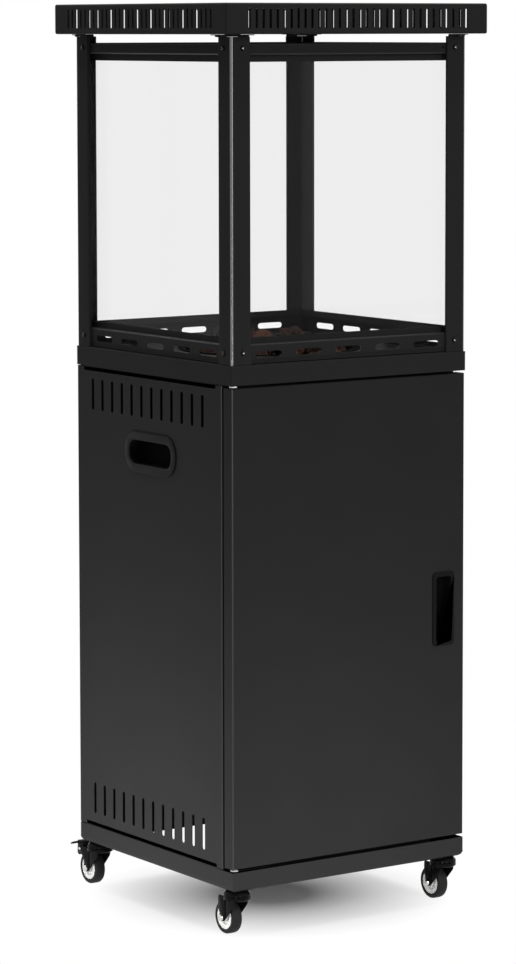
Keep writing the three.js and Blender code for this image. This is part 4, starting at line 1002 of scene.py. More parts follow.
def pan_head(name, diameter):
    """A pan head screw with a cross recess, which stands on its own floor. Its recess is bright nickel, a painted glint
    in the black head.
    """
    radius, height = diameter / 2, diameter * 0.34
    rings = [(radius, 0), (radius, height * 0.35), (radius * 0.86, height * 0.75), (radius * 0.5, height)]
    head = turned(name, rings, 24)
    arm, depth = diameter * 0.26, height * 0.55
    slit = arm * 0.25
    bars = [
        block("recess", (-arm, -slit, height - depth), (arm, slit, height + depth)),
        block("recess", (-slit, -arm, height - depth), (slit, arm, height + depth)),
    ]
    for bar in bars:
        cut(head, [bar])
    smoothed(painted(head, "blackened"), 35)

    # Painted glint: the faces inside the cross recess are bright nickel.
    def painted_glint_recess(face):
        return face.center.xy.length < arm * MM and SLIGHT * MM < face.center.z < (height - SLIGHT) * MM

    return refinished(head, "bright", painted_glint_recess)


# Upper part


def make_deck():
    """The deck between the cabinet and the glass, with the hole for the burner pan."""
    metal = sizes("sheet")
    low, high = node_box("burner_deck")
    deck = folded_pan("deck_pan", low, high, "z", -1, [(around("z", high.z, -1), metal.bend), (along("z"), metal.bend)])
    opening = rod("pan_hole", metal.pan_opening, high.z - 2 * metal.sheet, high.z + metal.sheet, segments=96)
    cut(deck, [opening])
    riding(painted(eased(deck), "black"), ["burner_deck"])


def make_head():
    """The head: a lid with slots all round and a flange turned in underneath, and its heat shield."""
    metal, vents = sizes("sheet"), sizes("vents")
    low, high = node_box("head_cap")
    head = folded_pan("head_lid", low, high, "z", -1, [(every_edge, metal.post_bend)], metal.head_lip)
    reach = high.x - vents.slot_from_edge
    bottom = low.z + vents.slot_lift
    half = vents.slot_width / 2
    for axis in ("x", "y"):
        slots = []
        for index in range(vents.slots):
            spot = -reach + 2 * reach * index / (vents.slots - 1)
            ends = [(low.x - half, spot - half, bottom), (high.x + half, spot + half, bottom + vents.slot_height)]
            if axis == "y":
                ends = [(y, x, z) for x, y, z in ends]
            slots.append(rounded_block("slot", *ends, axis, half - SLIGHT, 4))
        cut(head, slots)
    riding(painted(eased(head), "black"), ["head_cap"])
    shield = eased(node_copy("head_heat_shield", "head_heat_shield_sheet"), 0.3)
    riding(painted(shield, "stainless"), ["head_heat_shield"])


def make_posts():
    """The corner posts and their screws, which hold the rails and the head."""
    posts = [f"corner_post_{corner}" for corner in CORNERS]
    rail_low, rail_high = node_box("upper_rail_front")
    foot_low, foot_high = node_box("lower_rail_front")
    face = -rail_low.y + POST_PROUD
    corner = face - 2 * sizes("sheet").post_bend
    make_sheets(posts, "_bend", lambda middle: min(abs(middle.x), abs(middle.y)) > corner)
    burner = sizes("burner")
    screw = pan_head("post_screw", burner.screw)
    below_middle, below_top, below_head, from_tab = 1.5, 7, 1.5, 6
    heights = ((foot_low.z + foot_high.z) / 2 - below_middle, rail_high.z - below_top)
    inset = face - burner.screw_from_corner
    under = node_box("head_cap")[0].z - below_head
    reach = node_box(posts[-1])[1].x - from_tab
    heads = []
    for x_side in (-1, 1):
        for y_side in (-1, 1):
            for height in heights:
                heads.append(copied(screw, "head", (x_side * face, y_side * inset, height), (0, x_side * 90, 0)))
                heads.append(copied(screw, "head", (x_side * inset, y_side * face, height), (-y_side * 90, 0, 0)))
            for x, y in ((reach, inset), (inset, reach)):
                heads.append(copied(screw, "head", (x_side * x, y_side * y, under), (180, 0, 0)))
    bpy.data.objects.remove(screw)
    riding(joined(heads, "post_screws"), [], "cabinet")
    make_post_corners()


def make_post_corners():
    """The closed corners at the top of three posts. The front right one has its slit open, as in the photograph."""
    width, lap, behind = 17, 3, 0.1
    top = node_box("corner_post_front_right")[1].z
    under = node_box("head_cap")[0].z
    face = -node_box("upper_rail_front")[0].y + POST_PROUD - behind
    inner = face - sizes("sheet").sheet
    corners = []
    for x_side, y_side in ((-1, -1), (-1, 1), (1, 1)):
        for x, y in ((face - width, inner), (inner, face - width)):
            xs, ys = sorted((x_side * x, x_side * face)), sorted((y_side * y, y_side * face))
            corners.append(block("post_corner", (xs[0], ys[0], top - lap), (xs[1], ys[1], under)))
    riding(painted(eased(joined(corners, "post_top_corners")), "black"), [], "cabinet")


def make_rails():
    """The rails between the posts. The upper ones have a small hole beside each post."""
    make_sheets([f"lower_rail_{side}" for side in SIDES], "_ledge")
    hole, below_top, from_post, outwards, inwards = 3, 7, 29, 1, 3
    reach = middle_of("corner_post_front_right").x - from_post
    for side in SIDES:
        node = f"upper_rail_{side}"
        low, high = node_box(node)
        axis = "y" if side in ("front", "rear") else "x"
        if side in ("front", "left"):
            ends = getattr(low, axis) - outwards, getattr(low, axis) + inwards
        else:
            ends = getattr(high, axis) - inwards, getattr(high, axis) + outwards
        rail = node_copy(node, f"{node}_sheet")
        cut(rail, [rod("rail_hole", hole, *ends, axis, (way * reach, high.z - below_top), 16) for way in (-1, 1)])
        riding(eased(coated(rail, "black", "_ledge")), [node])


def make_glass():
    """The panes, with their ground edges, whose dark grey is partly their own tone and partly painted shade beside the
    posts.
    """
    ground = 0.5
    for side in SIDES:
        node = f"glass_pane_{side}"
        pane = node_copy(node, f"{node}_float_glass")
        axis = "x" if side in ("front", "rear") else "y"
        way = WAY[axis]
        low, high = node_box(node)
        for end, step in ((low, -1), (high, 1)):
            pick(pane, "VERT", level(axis, end[way]))
            shift = [0, 0, 0]
            shift[way] = step * sizes("sheet").glass_seat
            bpy.ops.transform.translate(value=metres(*shift))
            done(pane)
        applied(pane, "BEVEL", width=ground * MM, segments=1, limit_method="ANGLE", angle_limit=math.radians(60))
        # The ground edges are dark grey: partly the edge's own tone, partly painted shade where a pane meets its post.
        refinished(painted(pane, "glass"), "ground", lambda face: abs(face.normal[way]) > FLAT)
        riding(pane, [node])


# Pull cups


def pull_cup(name, size, corner, mouth, mouth_corner, depth):
    """A moulded pull cup that looks to -Y: a beaded rim on the face, and a matt pocket behind it, whose floor is a
    darker black as painted shade.
    """
    cups = sizes("cups")
    sunk, bead = 0.3, 0.9
    front, back, (width, height) = -cups.rim - sunk, -sunk, size
    side = (min(size) - mouth) / 2
    outer, inner = side - cups.wall, side
    bottom = depth - sunk - cups.wall
    cup = rounded_block(name, (-width / 2, front, -height / 2), (width / 2, back, height / 2), "y", corner, 10)
    pocket = rounded_block(
        "pocket", (outer - width / 2, back - 1, outer - height / 2),
        (width / 2 - outer, depth - sunk, height / 2 - outer), "y", mouth_corner + cups.wall, 10,
    )
    applied(cup, "BOOLEAN", object=pocket, operation="UNION", solver="EXACT")
    bpy.data.objects.remove(pocket)
    hollow = rounded_block(
        "hollow", (inner - width / 2, front - 1, inner - height / 2), (width / 2 - inner, bottom, height / 2 - inner),
        "y", mouth_corner, 10,
    )
    cut(cup, [hollow])
    pick(cup, "EDGE", level("y", front))
    bevel(bead, 4)
    smoothed(painted(done(cup), "plastic"), 35)

    # Painted shade: the floor of the pocket gets the darker matt black, where the hollow lies in shadow.
    def in_shaded_pocket(face):
        return face.normal.y < -FLAT and front + cups.wall < face.center.y / MM < bottom + SLIGHT

    return refinished(cup, "pocket", in_shaded_pocket)


def make_pull_cups():
    """The two hand grips and the door handle."""
    cups = sizes("cups")
    for side, node in ((-1, "left_hand_grip"), (1, "right_hand_grip")):
        low, high = node_box(node)
        face = side * -node_box("left_side_panel")[0].x
        depth = abs(face) - min(abs(low.x), abs(high.x))
        size = (high.y - low.y, high.z - low.z)
        cup = pull_cup(f"{node}_cup", size, cups.grip_corner, cups.grip_mouth, cups.grip_mouth_corner, depth)
        placed(cup, (face, (low.y + high.y) / 2, (low.z + high.z) / 2), (0, 0, side * 90))
        riding(cup, [node])
    low, high = node_box("door_handle")
    face = node_box("door_panel")[0].y
    size = (high.x - low.x, high.z - low.z)
    cup = pull_cup(
        "door_handle_cup", size, cups.handle_corner, cups.handle_mouth, cups.handle_mouth_corner, high.y - face
    )
    placed(cup, ((low.x + high.x) / 2, face, (low.z + high.z) / 2))
    riding(cup, ["door_handle"])


# Casters


def caster_cup():
    """The cup of a caster: a pressed shell, its threaded stem and the nut on it."""
    casters = sizes("casters")
    low, high = node_box("caster_cup_front_left")
    tray = node_box("base_tray")[0].z
    rim, top = (high.x - low.x) / 2, tray - 0.3
    shell = turned("cup_shell", [
        (rim - 6.5, top - 1.5), (rim - 1.5, low.z), (rim, low.z), (rim, low.z + 1.6), (rim - 0.5, low.z + 2.6),
        (rim - 4.2, top - 0.5), (rim - 5.2, top), (3, top),
    ])
    painted(smoothed(shell, 35), "lacquer")
    crest, pitch = casters.stem / 2, casters.thread_pitch
    root = crest - pitch * 0.45
    thread = [(root, top - 1.3)]
    while thread[-1][1] + 1.5 * pitch < high.z:
        height = thread[-1][1]
        thread += [(crest, height + pitch / 2), (root, height + pitch)]
    thread.append((root - 0.4, high.z))
    stem = painted(turned("cup_stem", thread, 24), "zinc")
    lock = painted(placed(nut("cup_nut", casters.nut, 8), (0, 0, tray + 1.5)), "zinc")
    return joined([shell, stem, lock], "cup")


def caster_fork(braked):
    """The fork of a caster: crown, kingpin, race of balls, two legs, and the axle with its bolt head and nut."""
    casters = sizes("casters")
    high = node_box("caster_fork_front_left")[1]
    cup_low, cup_high = node_box("caster_cup_front_left")
    rim, top = (cup_high.x - cup_low.x) / 2, cup_low.z - 1
    crown = turned("fork_crown", [
        (3, top - 6), (rim - 1.2, top - 6), (rim, top - 5), (rim, top - 0.8), (rim - 0.8, top), (6.2, top), (6, high.z),
        (2, high.z),
    ])
    painted(smoothed(crown, 35), "lacquer")
    balls = []
    for x, y in ring_spots(casters.balls, rim - 3.3):
        bpy.ops.mesh.primitive_uv_sphere_add(
            segments=12, ring_count=8, radius=casters.ball / 2 * MM, location=metres(x, y, top + 0.9)
        )
        fixed()
        balls.append(painted(smoothed(ordered(named("ball")), 60), "bright"))
    trail, height = wheel_axle()
    end, foot, front, under = trail + 5.5, height - 5.5, trail - 9, top - 2.5
    rear = [(end, height + 8, 8), (end + 3, height + 14, 8), (end + 3, under, 4)]
    if braked:
        rear = [(end, height + 16, 11), (43, height + 23.5, 5), (43, under, 5)]
    side_plate = [(front, under, 0), (front, height + 4, 9), (trail - 5.5, foot, 5.5), (end, foot, 5.5), *rear]
    web = [(-11.5, under, 0), (-11.5, under - 9, 11), (trail - 5, foot, 5), (trail + 5, foot, 5), (front + 6, under, 0)]
    legs = []
    for side in (-1, 1):
        for outline, place in ((side_plate, 12.5), (web, 11.5)):
            leg = placed(plate("fork_leg", outline, casters.leg / 2), (side * place, 0, 0), (90, 0, 90))
            legs.append(painted(smoothed(leg, 35), "lacquer"))
    reach = 13
    axle = rod("axle", casters.axle, -reach, reach, segments=24)
    head = turned("axle_head", [
        (5.2, reach), (5.2, reach + 1.2), (4.5, reach + 2.8), (2.6, reach + 3.7), (1, reach + 4),
    ], 32)
    lock = placed(nut("axle_nut", 10, 4), (0, 0, -reach), (180, 0, 0))
    bolt = [placed(piece, (0, trail, height), (0, -90, 0)) for piece in (axle, head, lock)]
    return joined([crown, *legs, *finished([(piece, "bright") for piece in bolt]), *balls], "fork")


def wheel_axle():
    """How far a wheel's axle trails behind its caster's stem, and its height."""
    hub, cup = middle_of("caster_hub_front_left"), middle_of("caster_cup_front_left")
    return hub.y - cup.y, hub.z


def caster_ring(name, half, segments, finish):
    """A hub or a tyre: half its section as (radius, place), mirrored, turned, and stood on the axle."""
    rings = half + [(radius, -place) for radius, place in reversed(half)]
    ring = turned(name, [*rings, rings[0]], segments, hollow=True)
    trail, height = wheel_axle()
    placed(ring, (0, trail, height), (0, 90, 0))
    return painted(smoothed(ring, 42), finish)


def caster_hub():
    """The hub of a caster wheel: a web with a groove round the boss, and a bore for the axle."""
    low, high = node_box("caster_hub_front_left")
    rim, boss = (high.z - low.z) / 2, (high.x - low.x) / 2
    bore = sizes("casters").axle / 2 + 0.4
    half = [
        (bore, boss), (6.6, boss), (7, boss - 0.4), (7, 4.4), (7.8, 3.6), (10.6, 3.6), (11.2, 4.4), (11.4, 7.0),
        (12, 7.5), (15, 7.5), (15.6, 7.1), (16.2, 7.1), (rim - 1.2, 7.8), (rim - 0.4, 8), (rim, 7.6),
    ]
    return caster_ring("hub", half, 56, "hub")


def caster_tyre():
    """The tyre of a caster wheel, with rounded shoulders and a fine mould seam round its tread."""
    low, high = node_box("caster_tyre_front_left")
    hub_low, hub_high = node_box("caster_hub_front_left")
    rim, inner = (high.z - low.z) / 2, (hub_high.z - hub_low.z) / 2 + 0.3
    half = [
        (inner, 7.4), (inner + 0.6, 8.1), (rim - 4.4, 8.5), (rim - 2.6, 8.4), (rim - 1.2, 7.7), (rim - 0.35, 6.3),
        (rim - 0.1, 4.6), (rim - 0.1, 0.5), (rim, 0.2),
    ]
    return caster_ring("tyre", half, 64, "tyre")


def brake_pedal():
    """The brake pedal of a rear caster: a curved pressing on its cam, with a pin that shows silver."""
    hub = middle_of("caster_cup_rear_left")
    low, high = node_box("brake_pedal_rear_left")
    front, back, top = low.y - hub.y, high.y - hub.y, high.z
    half, wall, corner, knee, droop, crown, cuts = (high.x - low.x) / 2, 2, 6, 34, 8, 0.9, 8
    pedal = block("pedal_top", (-half, front, top - wall), (half, back, top))
    pick(pedal, "EDGE", parallel("z"))
    bevel(corner, 5)
    for step in range(cuts):
        bpy.ops.mesh.select_all(action="SELECT")
        bpy.ops.mesh.bisect(plane_co=metres(0, knee + step * (back - knee) / cuts, 0), plane_no=(0, 1, 0))
    ordered(done(pedal))
    for vertex in pedal.data.vertices:
        beyond = max(0, vertex.co.y / MM - knee) / (back - knee)
        vertex.co.z -= droop * beyond**1.6 * MM
        vertex.co.z -= crown * (vertex.co.x / MM / half) ** 2 * MM
    eased(pedal, 0.5)
    _, joint_y, pin_z = joint_place("brake_rear_left")
    pin_y = joint_y - hub.y
    cam = plate("pedal_cam", [
        (pin_y - 6, top - 2, 0), (pin_y - 4.5, pin_z - 3, 2), (pin_y + 2, pin_z - 6.5, 2), (pin_y + 6.75, low.z, 2),
        (pin_y + 12, pin_z - 9.5, 3), (pin_y + 11, top - 2.6, 0),
    ], 21.4, 0.6)
    placed(cam, (0, 0, 0), (90, 0, 90))
    half_pin = [(0.9, 15.5), (1.8, 15.0), (2.5, 14.2), (2.5, 13.2), (1.9, 13.2)]
    pin = turned("pedal_pin", [*[(radius, -place) for radius, place in half_pin], *reversed(half_pin)], 24)
    placed(pin, (0, pin_y, pin_z), (0, 90, 0))
    painted(pedal, "pocket")
    painted(smoothed(cam, 35), "plastic")
    painted(smoothed(pin, 50), "bright")
    return joined([pedal, cam, pin], "pedal")


def make_casters():
    """The four casters, each piece drawn once and copied."""
    patterns = {
        "cup": caster_cup(), "fork": caster_fork(False), "braked": caster_fork(True), "hub": caster_hub(),
        "tyre": caster_tyre(), "pedal": brake_pedal(),
    }
    for corner in CORNERS:
        stem = middle_of(f"caster_cup_{corner}")
        rear = corner.startswith("rear")
        parts = [
            ("cup", "caster_cup", "race", "caster_steel"),
            ("braked" if rear else "fork", "caster_fork", "frame", "caster_steel"),
            ("hub", "caster_hub", "web", "hub_nylon"),
            ("tyre", "caster_tyre", "rubber", "tyre"),
        ]
        if rear:
            parts.append(("pedal", "brake_pedal", "lever", "black_plastic"))
        for pattern, node, word, slot in parts:
            copy = copied(patterns[pattern], f"{node}_{corner}_{word}", (stem.x, stem.y, 0))
            riding(copy, [f"{node}_{corner}"])
    for pattern in patterns.values():
        bpy.data.objects.remove(pattern)


# Burner and controls


def make_burner():
    """The spun pan, the burner ring with its flame ports, and the pilot."""
    burner = sizes("burner")
    low, high = node_box("burner_pan")
    wall = sizes("sheet").sheet
    rim, floor = (high.x - low.x) / 2, low.z + wall
    bowl = rim - PAN_FLANGE
    pan = turned("pan", [
        (rim, high.z), (bowl + 2.6, high.z), (bowl + 0.8, high.z - 0.7), (bowl, high.z - 2.4), (bowl, floor + 7.5),
        (bowl - 0.9, floor + 4.2), (bowl - 3.2, floor + 1.6), (bowl - 7.6, floor), (40, floor), (11.2, floor),
    ], 96, hollow=True)
    walled(pan, wall)
    pilot = middle_of("pilot_assembly")
    cut(pan, [rod("pilot_hole", 8, low.z - wall, floor + wall, "z", (pilot.x, pilot.y))])
    riding(painted(smoothed(pan, 40), "stove"), ["burner_pan"])

    ring_low, ring_high = node_box("burner_ring")
    tube, sunk = 7, 0.9
    ring = (ring_high.x - ring_low.x) / 2 - tube + sunk
    axis_z = ring_high.z - tube + sunk
    bpy.ops.mesh.primitive_torus_add(
        major_segments=72, minor_segments=20, major_radius=ring * MM, minor_radius=tube * MM,
        location=metres(0, 0, axis_z),
    )
    fixed()
    hoop = named("ring_tube")
    top = axis_z + tube
    spots = ring_spots(burner.ports, ring, 0.5)
    cut(hoop, [rod("port", burner.port, top - 2.5, top + 2, "z", spot, 12) for spot in spots])
    cross = rod("ring_cross", 11, -ring + 2, ring - 2, "x", (0, axis_z), 24)
    feed = rod("ring_feed", 18, ring_low.z, axis_z, segments=32)
    seat = placed(nut("ring_seat", 27, axis_z - tube - floor - 0.3), (0, 0, floor + 0.3))
    pieces = finished([(hoop, "stainless"), (cross, "stainless"), (feed, "stainless"), (seat, "brass")], 40)
    riding(joined(pieces, "burner_ring_and_feed"), ["burner_ring"])
    make_pilot(floor)


def make_pilot(floor):
    """The pilot: a bracket, a tube with a slotted hood, and two ceramic probes with steel tips."""
    low, high = node_box("pilot_assembly")
    middle, half, top = (low + high) / 2, (high - low) / 2, high.z
    tube = painted(turned("pilot_tube", [(2, low.z), (3.5, low.z), (3.5, top - 8), (2, top - 8)], 24), "brass")
    hood = turned("pilot_hood", [
        (3.6, top - 9), (5.5, top - 9), (5.5, top - 1.5), (4.8, top - 0.4), (3.4, top), (1.6, top), (1.6, top - 7),
        (3.0, top - 8),
    ], 32)
    slots = [
        block("hood_slot", (-0.7, -8, top - 6), (0.7, 8, top - 3)),
        block("hood_slot", (-8, -0.7, top - 6), (8, 0.7, top - 3)),
    ]
    for slot in slots:
        cut(hood, [slot])
    painted(smoothed(hood, 35), "stainless")
    foot_ends = (-half.x, -half.y, floor + 0.3), (half.x, half.y, floor + 1.5)
    foot = painted(eased(rounded_block("pilot_foot", *foot_ends, "z", 2)), "stainless")
    probes = []
    for x in (-7, 7):
        sleeve = turned("probe_sleeve", [
            (1.9, floor + 1.5), (2, floor + 2), (2, top - 7), (1.2, top - 5.6), (0.7, top - 5.2),
        ], 20)
        tip = turned("probe_tip", [(0.7, top - 5.4), (0.7, top - 0.6), (0.3, top - 0.1)], 12)
        probes += finished([(placed(sleeve, (x, 0, 0)), "ceramic"), (placed(tip, (x, 0, 0)), "bright")], 50)
    pilot = placed(joined([tube, hood, foot, *probes], "pilot_burner_and_probes"), (middle.x, middle.y, 0))
    riding(pilot, ["pilot_assembly"])


def lava_piece(seed, place, size, finish):
    """One broken stone: a ball, squashed, turned, pushed in and out, and left with its facets."""
    bpy.ops.mesh.primitive_ico_sphere_add(subdivisions=4, radius=size / 2 * MM)
    stone = named("stone")
    stone.rotation_euler = (seed * 1.3, seed * 2.1, seed * 0.7)
    stone.scale = (1, 0.84 + 0.1 * math.sin(seed), 0.74 + 0.08 * math.cos(seed * 2))
    stone.location = metres(*place)
    fixed()
    return painted(stone, finish)


def broken(heap):
    """Gives stones their lumps, chips and pores."""
    size = sizes("burner").stone
    for share, depth in ((0.75, 0.34), (0.3, 0.24), (0.12, 0.09)):
        clouds = bpy.data.textures.new("stone_clouds", "CLOUDS")
        clouds.noise_scale = size * share * MM
        applied(heap, "DISPLACE", texture=clouds, strength=size * depth * MM, mid_level=0.5, texture_coords="GLOBAL")
    return smoothed(heap, 55)


def make_lava():
    """The heap of lava stones on the burner ring, and the loose stones in the pan round it."""
    burner = sizes("burner")
    low, high = node_box("lava_rocks")
    size = burner.stone
    crest = (
        (-16, -2, 8, 1.05, "rust"), (2, 6, 12, 0.9, "brown"), (12, -12, 14, 0.8, "grey"), (24, -8, 4, 0.85, "brown"),
        (33, -26, 4, 1.05, "brown"), (52, -40, 14, 0.8, "grey"), (-50, 55, 4, 1.0, "grey"), (-26, 28, 1, 1.1, "brown"),
    )
    heap = []
    for index, (x, y, sunk, share, shade) in enumerate(crest):
        heap.append(lava_piece(index, (x, y, high.z - sunk - size * share * 0.42), size * share, shade))
    shades = ("brown", "grey", "rust", "brown")
    for count, reach, lift in ((13, high.x - size * 0.5, 0.36), (7, 30, 0.6)):
        for index, (x, y) in enumerate(ring_spots(count, reach, 0.3)):
            heap.append(lava_piece(index + count, (x, y, low.z + size * lift), size, shades[index % 4]))
    riding(broken(joined(heap, "lava_stone_heap")), ["lava_rocks"])

    pan_low, pan_high = node_box("burner_pan")
    bowl, size = pan_high.x - PAN_FLANGE, burner.loose_stone
    bed = []
    for index, (x, y) in enumerate(ring_spots(burner.loose, 1, 0.2)):
        reach = bowl - size * (0.62 + 0.05 * math.sin(index * 2))
        height = pan_low.z + size * (0.56 + 0.05 * math.cos(index * 3))
        spot = (reach * x, reach * y, height)
        bed.append(lava_piece(index + 20, spot, size * 0.98, ("brown", "rust")[index % 2]))
    riding(broken(joined(bed, "lava_stones_in_pan")), [], "cabinet")


def make_controls():
    """The knob with its pointer, the igniter, the gas valve with its nipple, and the pipe to the burner."""
    make_knob()
    make_igniter()
    valve = painted(eased(node_copy("gas_valve", "gas_valve_body"), 0.5, 40), "brass")
    riding(valve, ["gas_valve"])

    low, high = node_box("gas_pipe")
    knob = middle_of("control_knob")
    start, corner = Vector((knob.x, low.y, knob.z)), Vector((knob.x, 0, knob.z))
    under, top = Vector((0, 0, knob.z)), Vector((0, 0, high.z))
    pipe = bent_tube("pipe", [(start, 0), (corner, abs(knob.x) / 2), (under, 11), (top, 0)], 8)
    union = placed(nut("pipe_nut", 15, 10), tuple(start), (-90, 0, 0))
    jet = placed(nut("pipe_jet", 15, 10), (0, 0, high.z - 10))
    pieces = finished([(pipe, "bright"), (union, "brass"), (jet, "brass")])
    riding(joined(pieces, "gas_pipe_and_nuts"), ["gas_pipe"])


def make_knob():
    """The control knob: a skirt, a notched dome, a bar to turn it by and a white pointer."""
    low, high = node_box("control_knob")
    middle, radius, top = (low + high) / 2, (high.x - low.x) / 2, high.y - low.y
    skirt = turned("knob_skirt", [
        (4.1, 0), (radius - 0.4, 0), (radius, 0.5), (radius, 3), (radius - 0.8, 4), (17, 4.4),
    ])
    dome = turned("knob_dome", [(17, 2), (16.8, 12), (16, 13), (15, 13.2), (4.1, 13.2)])
    cut(dome, [rod("notch", 2.6, 5, 15, "z", spot, 12) for spot in ring_spots(18, 17.6)])
    bar = rounded_block("knob_bar", (-4.5, -16.5, 10), (4.5, 16.5, top), "z", 4.4)
    pick(bar, "EDGE", level("z", top))
    bevel(1.2, 3)
    done(bar)
    pointer = rounded_block("knob_pointer", (-0.8, 5, top - 1), (0.8, 15.4, top + 0.02), "z", 0.7, 3)
    pieces = finished([(skirt, "plastic"), (dome, "plastic"), (bar, "plastic"), (pointer, "mark")])
    knob = placed(joined(pieces, "control_knob_and_pointer"), (middle.x, high.y, middle.z), (90, 0, 0))
    riding(knob, ["control_knob"])


def make_igniter():
    """The igniter's button: a dished cap on its shaft."""
    low, high = node_box("igniter_button")
    middle, radius, top = (low + high) / 2, (high.x - low.x) / 2, high.y - low.y
    cap = turned("igniter_cap", [
        (3, 0), (5.5, 0), (5.5, top - 7), (radius - 1, top - 7), (radius - 0.2, top - 6.2), (radius - 0.2, top - 1.2),
        (radius - 1.2, top - 0.2), (radius * 0.6, top - 0.5), (1, top - 1),
    ])
    painted(smoothed(cap, 35), "plastic")
    placed(cap, (middle.x, high.y, middle.z), (90, 0, 0))
    riding(cap, ["igniter_button"])


# Stage


def background_ray(tree):
    """1 for the rays that show the background: seen by the camera, in a reflection or through glass."""
    path = add_node(tree, "ShaderNodeLightPath")
    mirrored_ray = add_node(
        tree, "ShaderNodeMath", {"operation": "MAXIMUM"}, {0: (path, "Is Camera Ray"), 1: (path, "Is Glossy Ray")}
    )
    return add_node(
        tree, "ShaderNodeMath", {"operation": "MAXIMUM"}, {0: (mirrored_ray, "Value"), 1: (path, "Is Transmission Ray")}
    )


def make_floor():
    """The pale floor, which keeps the heater's shadow and runs out into white. Away from the heater its colour darkens
    to dark grey, painted shade that cuts the light it bounces onto the heater.
    """
    radius, depth, white, painted_falloff_span = 6, 0.0005, (0.06, 0.28), (0.4, 1.1)
    bpy.ops.mesh.primitive_circle_add(vertices=96, radius=radius, fill_type="NGON", location=(0, 0, -depth))
    fixed()
    floor = named("floor")
    ground = bpy.data.materials.new("white_studio_floor")
    ground.use_nodes = True
    tree = ground.node_tree
    tree.nodes.clear()
    place = add_node(tree, "ShaderNodeTexCoord")
    far = add_node(tree, "ShaderNodeVectorMath", {"operation": "LENGTH"}, {0: (place, "Object")})
    fade = add_node(
        tree, "ShaderNodeMapRange", None, {"Value": (far, "Value"), "From Min": white[0], "From Max": white[1]}
    )
    # Painted shade: from 0.4 to 1.1 m the floor's colour darkens to dark grey, as if the lamps' light fell off there.
    dark = add_node(
        tree, "ShaderNodeMapRange", None, {"Value": (far, "Value"), "From Min": painted_falloff_span[0], "From Max": painted_falloff_span[1]}
    )
    painted_falloff = add_node(
        tree, "ShaderNodeMix", {"data_type": "RGBA"},
        {"Factor": (dark, "Result"), "A": (*settings("colours").floor, 1), "B": linear("#303030")},
    )
    matt = add_node(tree, "ShaderNodeBsdfDiffuse", None, {"Color": (painted_falloff, "Result")})
    glow = add_node(tree, "ShaderNodeEmission", None, {"Color": (1, 1, 1, 1), "Strength": 1.0})
    share = add_node(
        tree, "ShaderNodeMath", {"operation": "MULTIPLY"}, {0: (background_ray(tree), "Value"), 1: (fade, "Result")}
    )
    mix = add_node(tree, "ShaderNodeMixShader", None, {0: (share, "Value"), 1: (matt, "BSDF"), 2: (glow, "Emission")})
    add_node(tree, "ShaderNodeOutputMaterial", None, {"Surface": (mix, "Shader")})
    floor.data.materials.append(ground)


def make_world():
    """Plain light from all round, in front of a white background."""
    world = bpy.data.worlds.new("studio")
    bpy.context.scene.world = world
    world.use_nodes = True
    tree = world.node_tree
    tree.nodes.clear()
    strength = add_node(
        tree, "ShaderNodeMapRange", None,
        {"Value": (background_ray(tree), "Value"), "To Min": settings("stage").sky, "To Max": 1.0},
    )
    sky = add_node(tree, "ShaderNodeBackground", None, {"Color": (1, 1, 1, 1), "Strength": (strength, "Result")})
    add_node(tree, "ShaderNodeOutputWorld", None, {"Surface": (sky, "Background")})


def add_lamp(name, place, aim, size, power, shown):
    """A soft lamp at a place, turned to what it lights. It may show in glossy surfaces."""
    lamp = bpy.data.lights.new(name, "AREA")
    lamp.shape = "RECTANGLE"
    lamp.size, lamp.size_y = size
    lamp.energy = power
    holder = bpy.data.objects.new(name, lamp)
    bpy.context.collection.objects.link(holder)
    holder.location = place
    holder.rotation_euler = (Vector(aim) - Vector(place)).to_track_quat("-Z", "Y").to_euler()
    holder.visible_camera = False
    holder.visible_transmission = False
    holder.visible_glossy = shown


def make_stage():
    """The floor, the background, the lamps and the camera at the photograph's angle."""
    make_floor()
    make_world()
    stage = settings("stage")
    add_lamp("overhead_lamp", (0.15, 0.35, 3.2), (0.05, 0.1, 0), (2.4, 2.4), stage.overhead, True)
    add_lamp("left_lamp", (-0.68, -0.02, 0.04), (-0.2, -0.02, 0.14), (0.6, 0.04), stage.left, False)
    add_lamp("front_lamp", (-0.12, -0.75, 0.04), (-0.1, -0.2, 0.16), (0.6, 0.04), stage.front, False)
    add_lamp("edge_lamp", (0.1, -3.7, 1.9), (0, 0, 0.8), (1.3, 2.4), stage.edge, True)
    add_lamp("glint_lamp", (-2.3, -3.1, 0.5), (0, 0, 0.3), (0.14, 0.14), stage.glint, True)
    lens = bpy.data.cameras.new("camera")
    lens.lens, lens.sensor_width, lens.shift_y, lens.clip_end = CAMERA_LENS, 36, CAMERA_SHIFT, 100
    camera = bpy.data.objects.new("camera", lens)
    bpy.context.collection.objects.link(camera)
    camera.location = CAMERA_PLACE
    camera.rotation_euler = Euler([math.radians(angle) for angle in CAMERA_TURN])
    bpy.context.scene.camera = camera
    bpy.context.scene.view_settings.view_transform = "Standard"


# Operators


class HEATER_OT_finishes(bpy.types.Operator):
    """Make the materials of the heater"""

    bl_idname = "heater.finishes"
    bl_label = "Finishes"

    def execute(self, context):
        make_finishes()
        return {"FINISHED"}


class HEATER_OT_side_panels(bpy.types.Operator):
    """Make the two vented side panels"""

    bl_idname = "heater.side_panels"
    bl_label = "Side panels"

    def execute(self, context):
        make_side_panels()
        return {"FINISHED"}


class HEATER_OT_base_tray(bpy.types.Operator):
    """Make the tray under the cabinet"""

    bl_idname = "heater.base_tray"
    bl_label = "Base tray"

    def execute(self, context):
        make_base_tray()
        return {"FINISHED"}


class HEATER_OT_door(bpy.types.Operator):
    """Make the door"""

    bl_idname = "heater.door"
    bl_label = "Door"

    def execute(self, context):
        make_door()
        return {"FINISHED"}


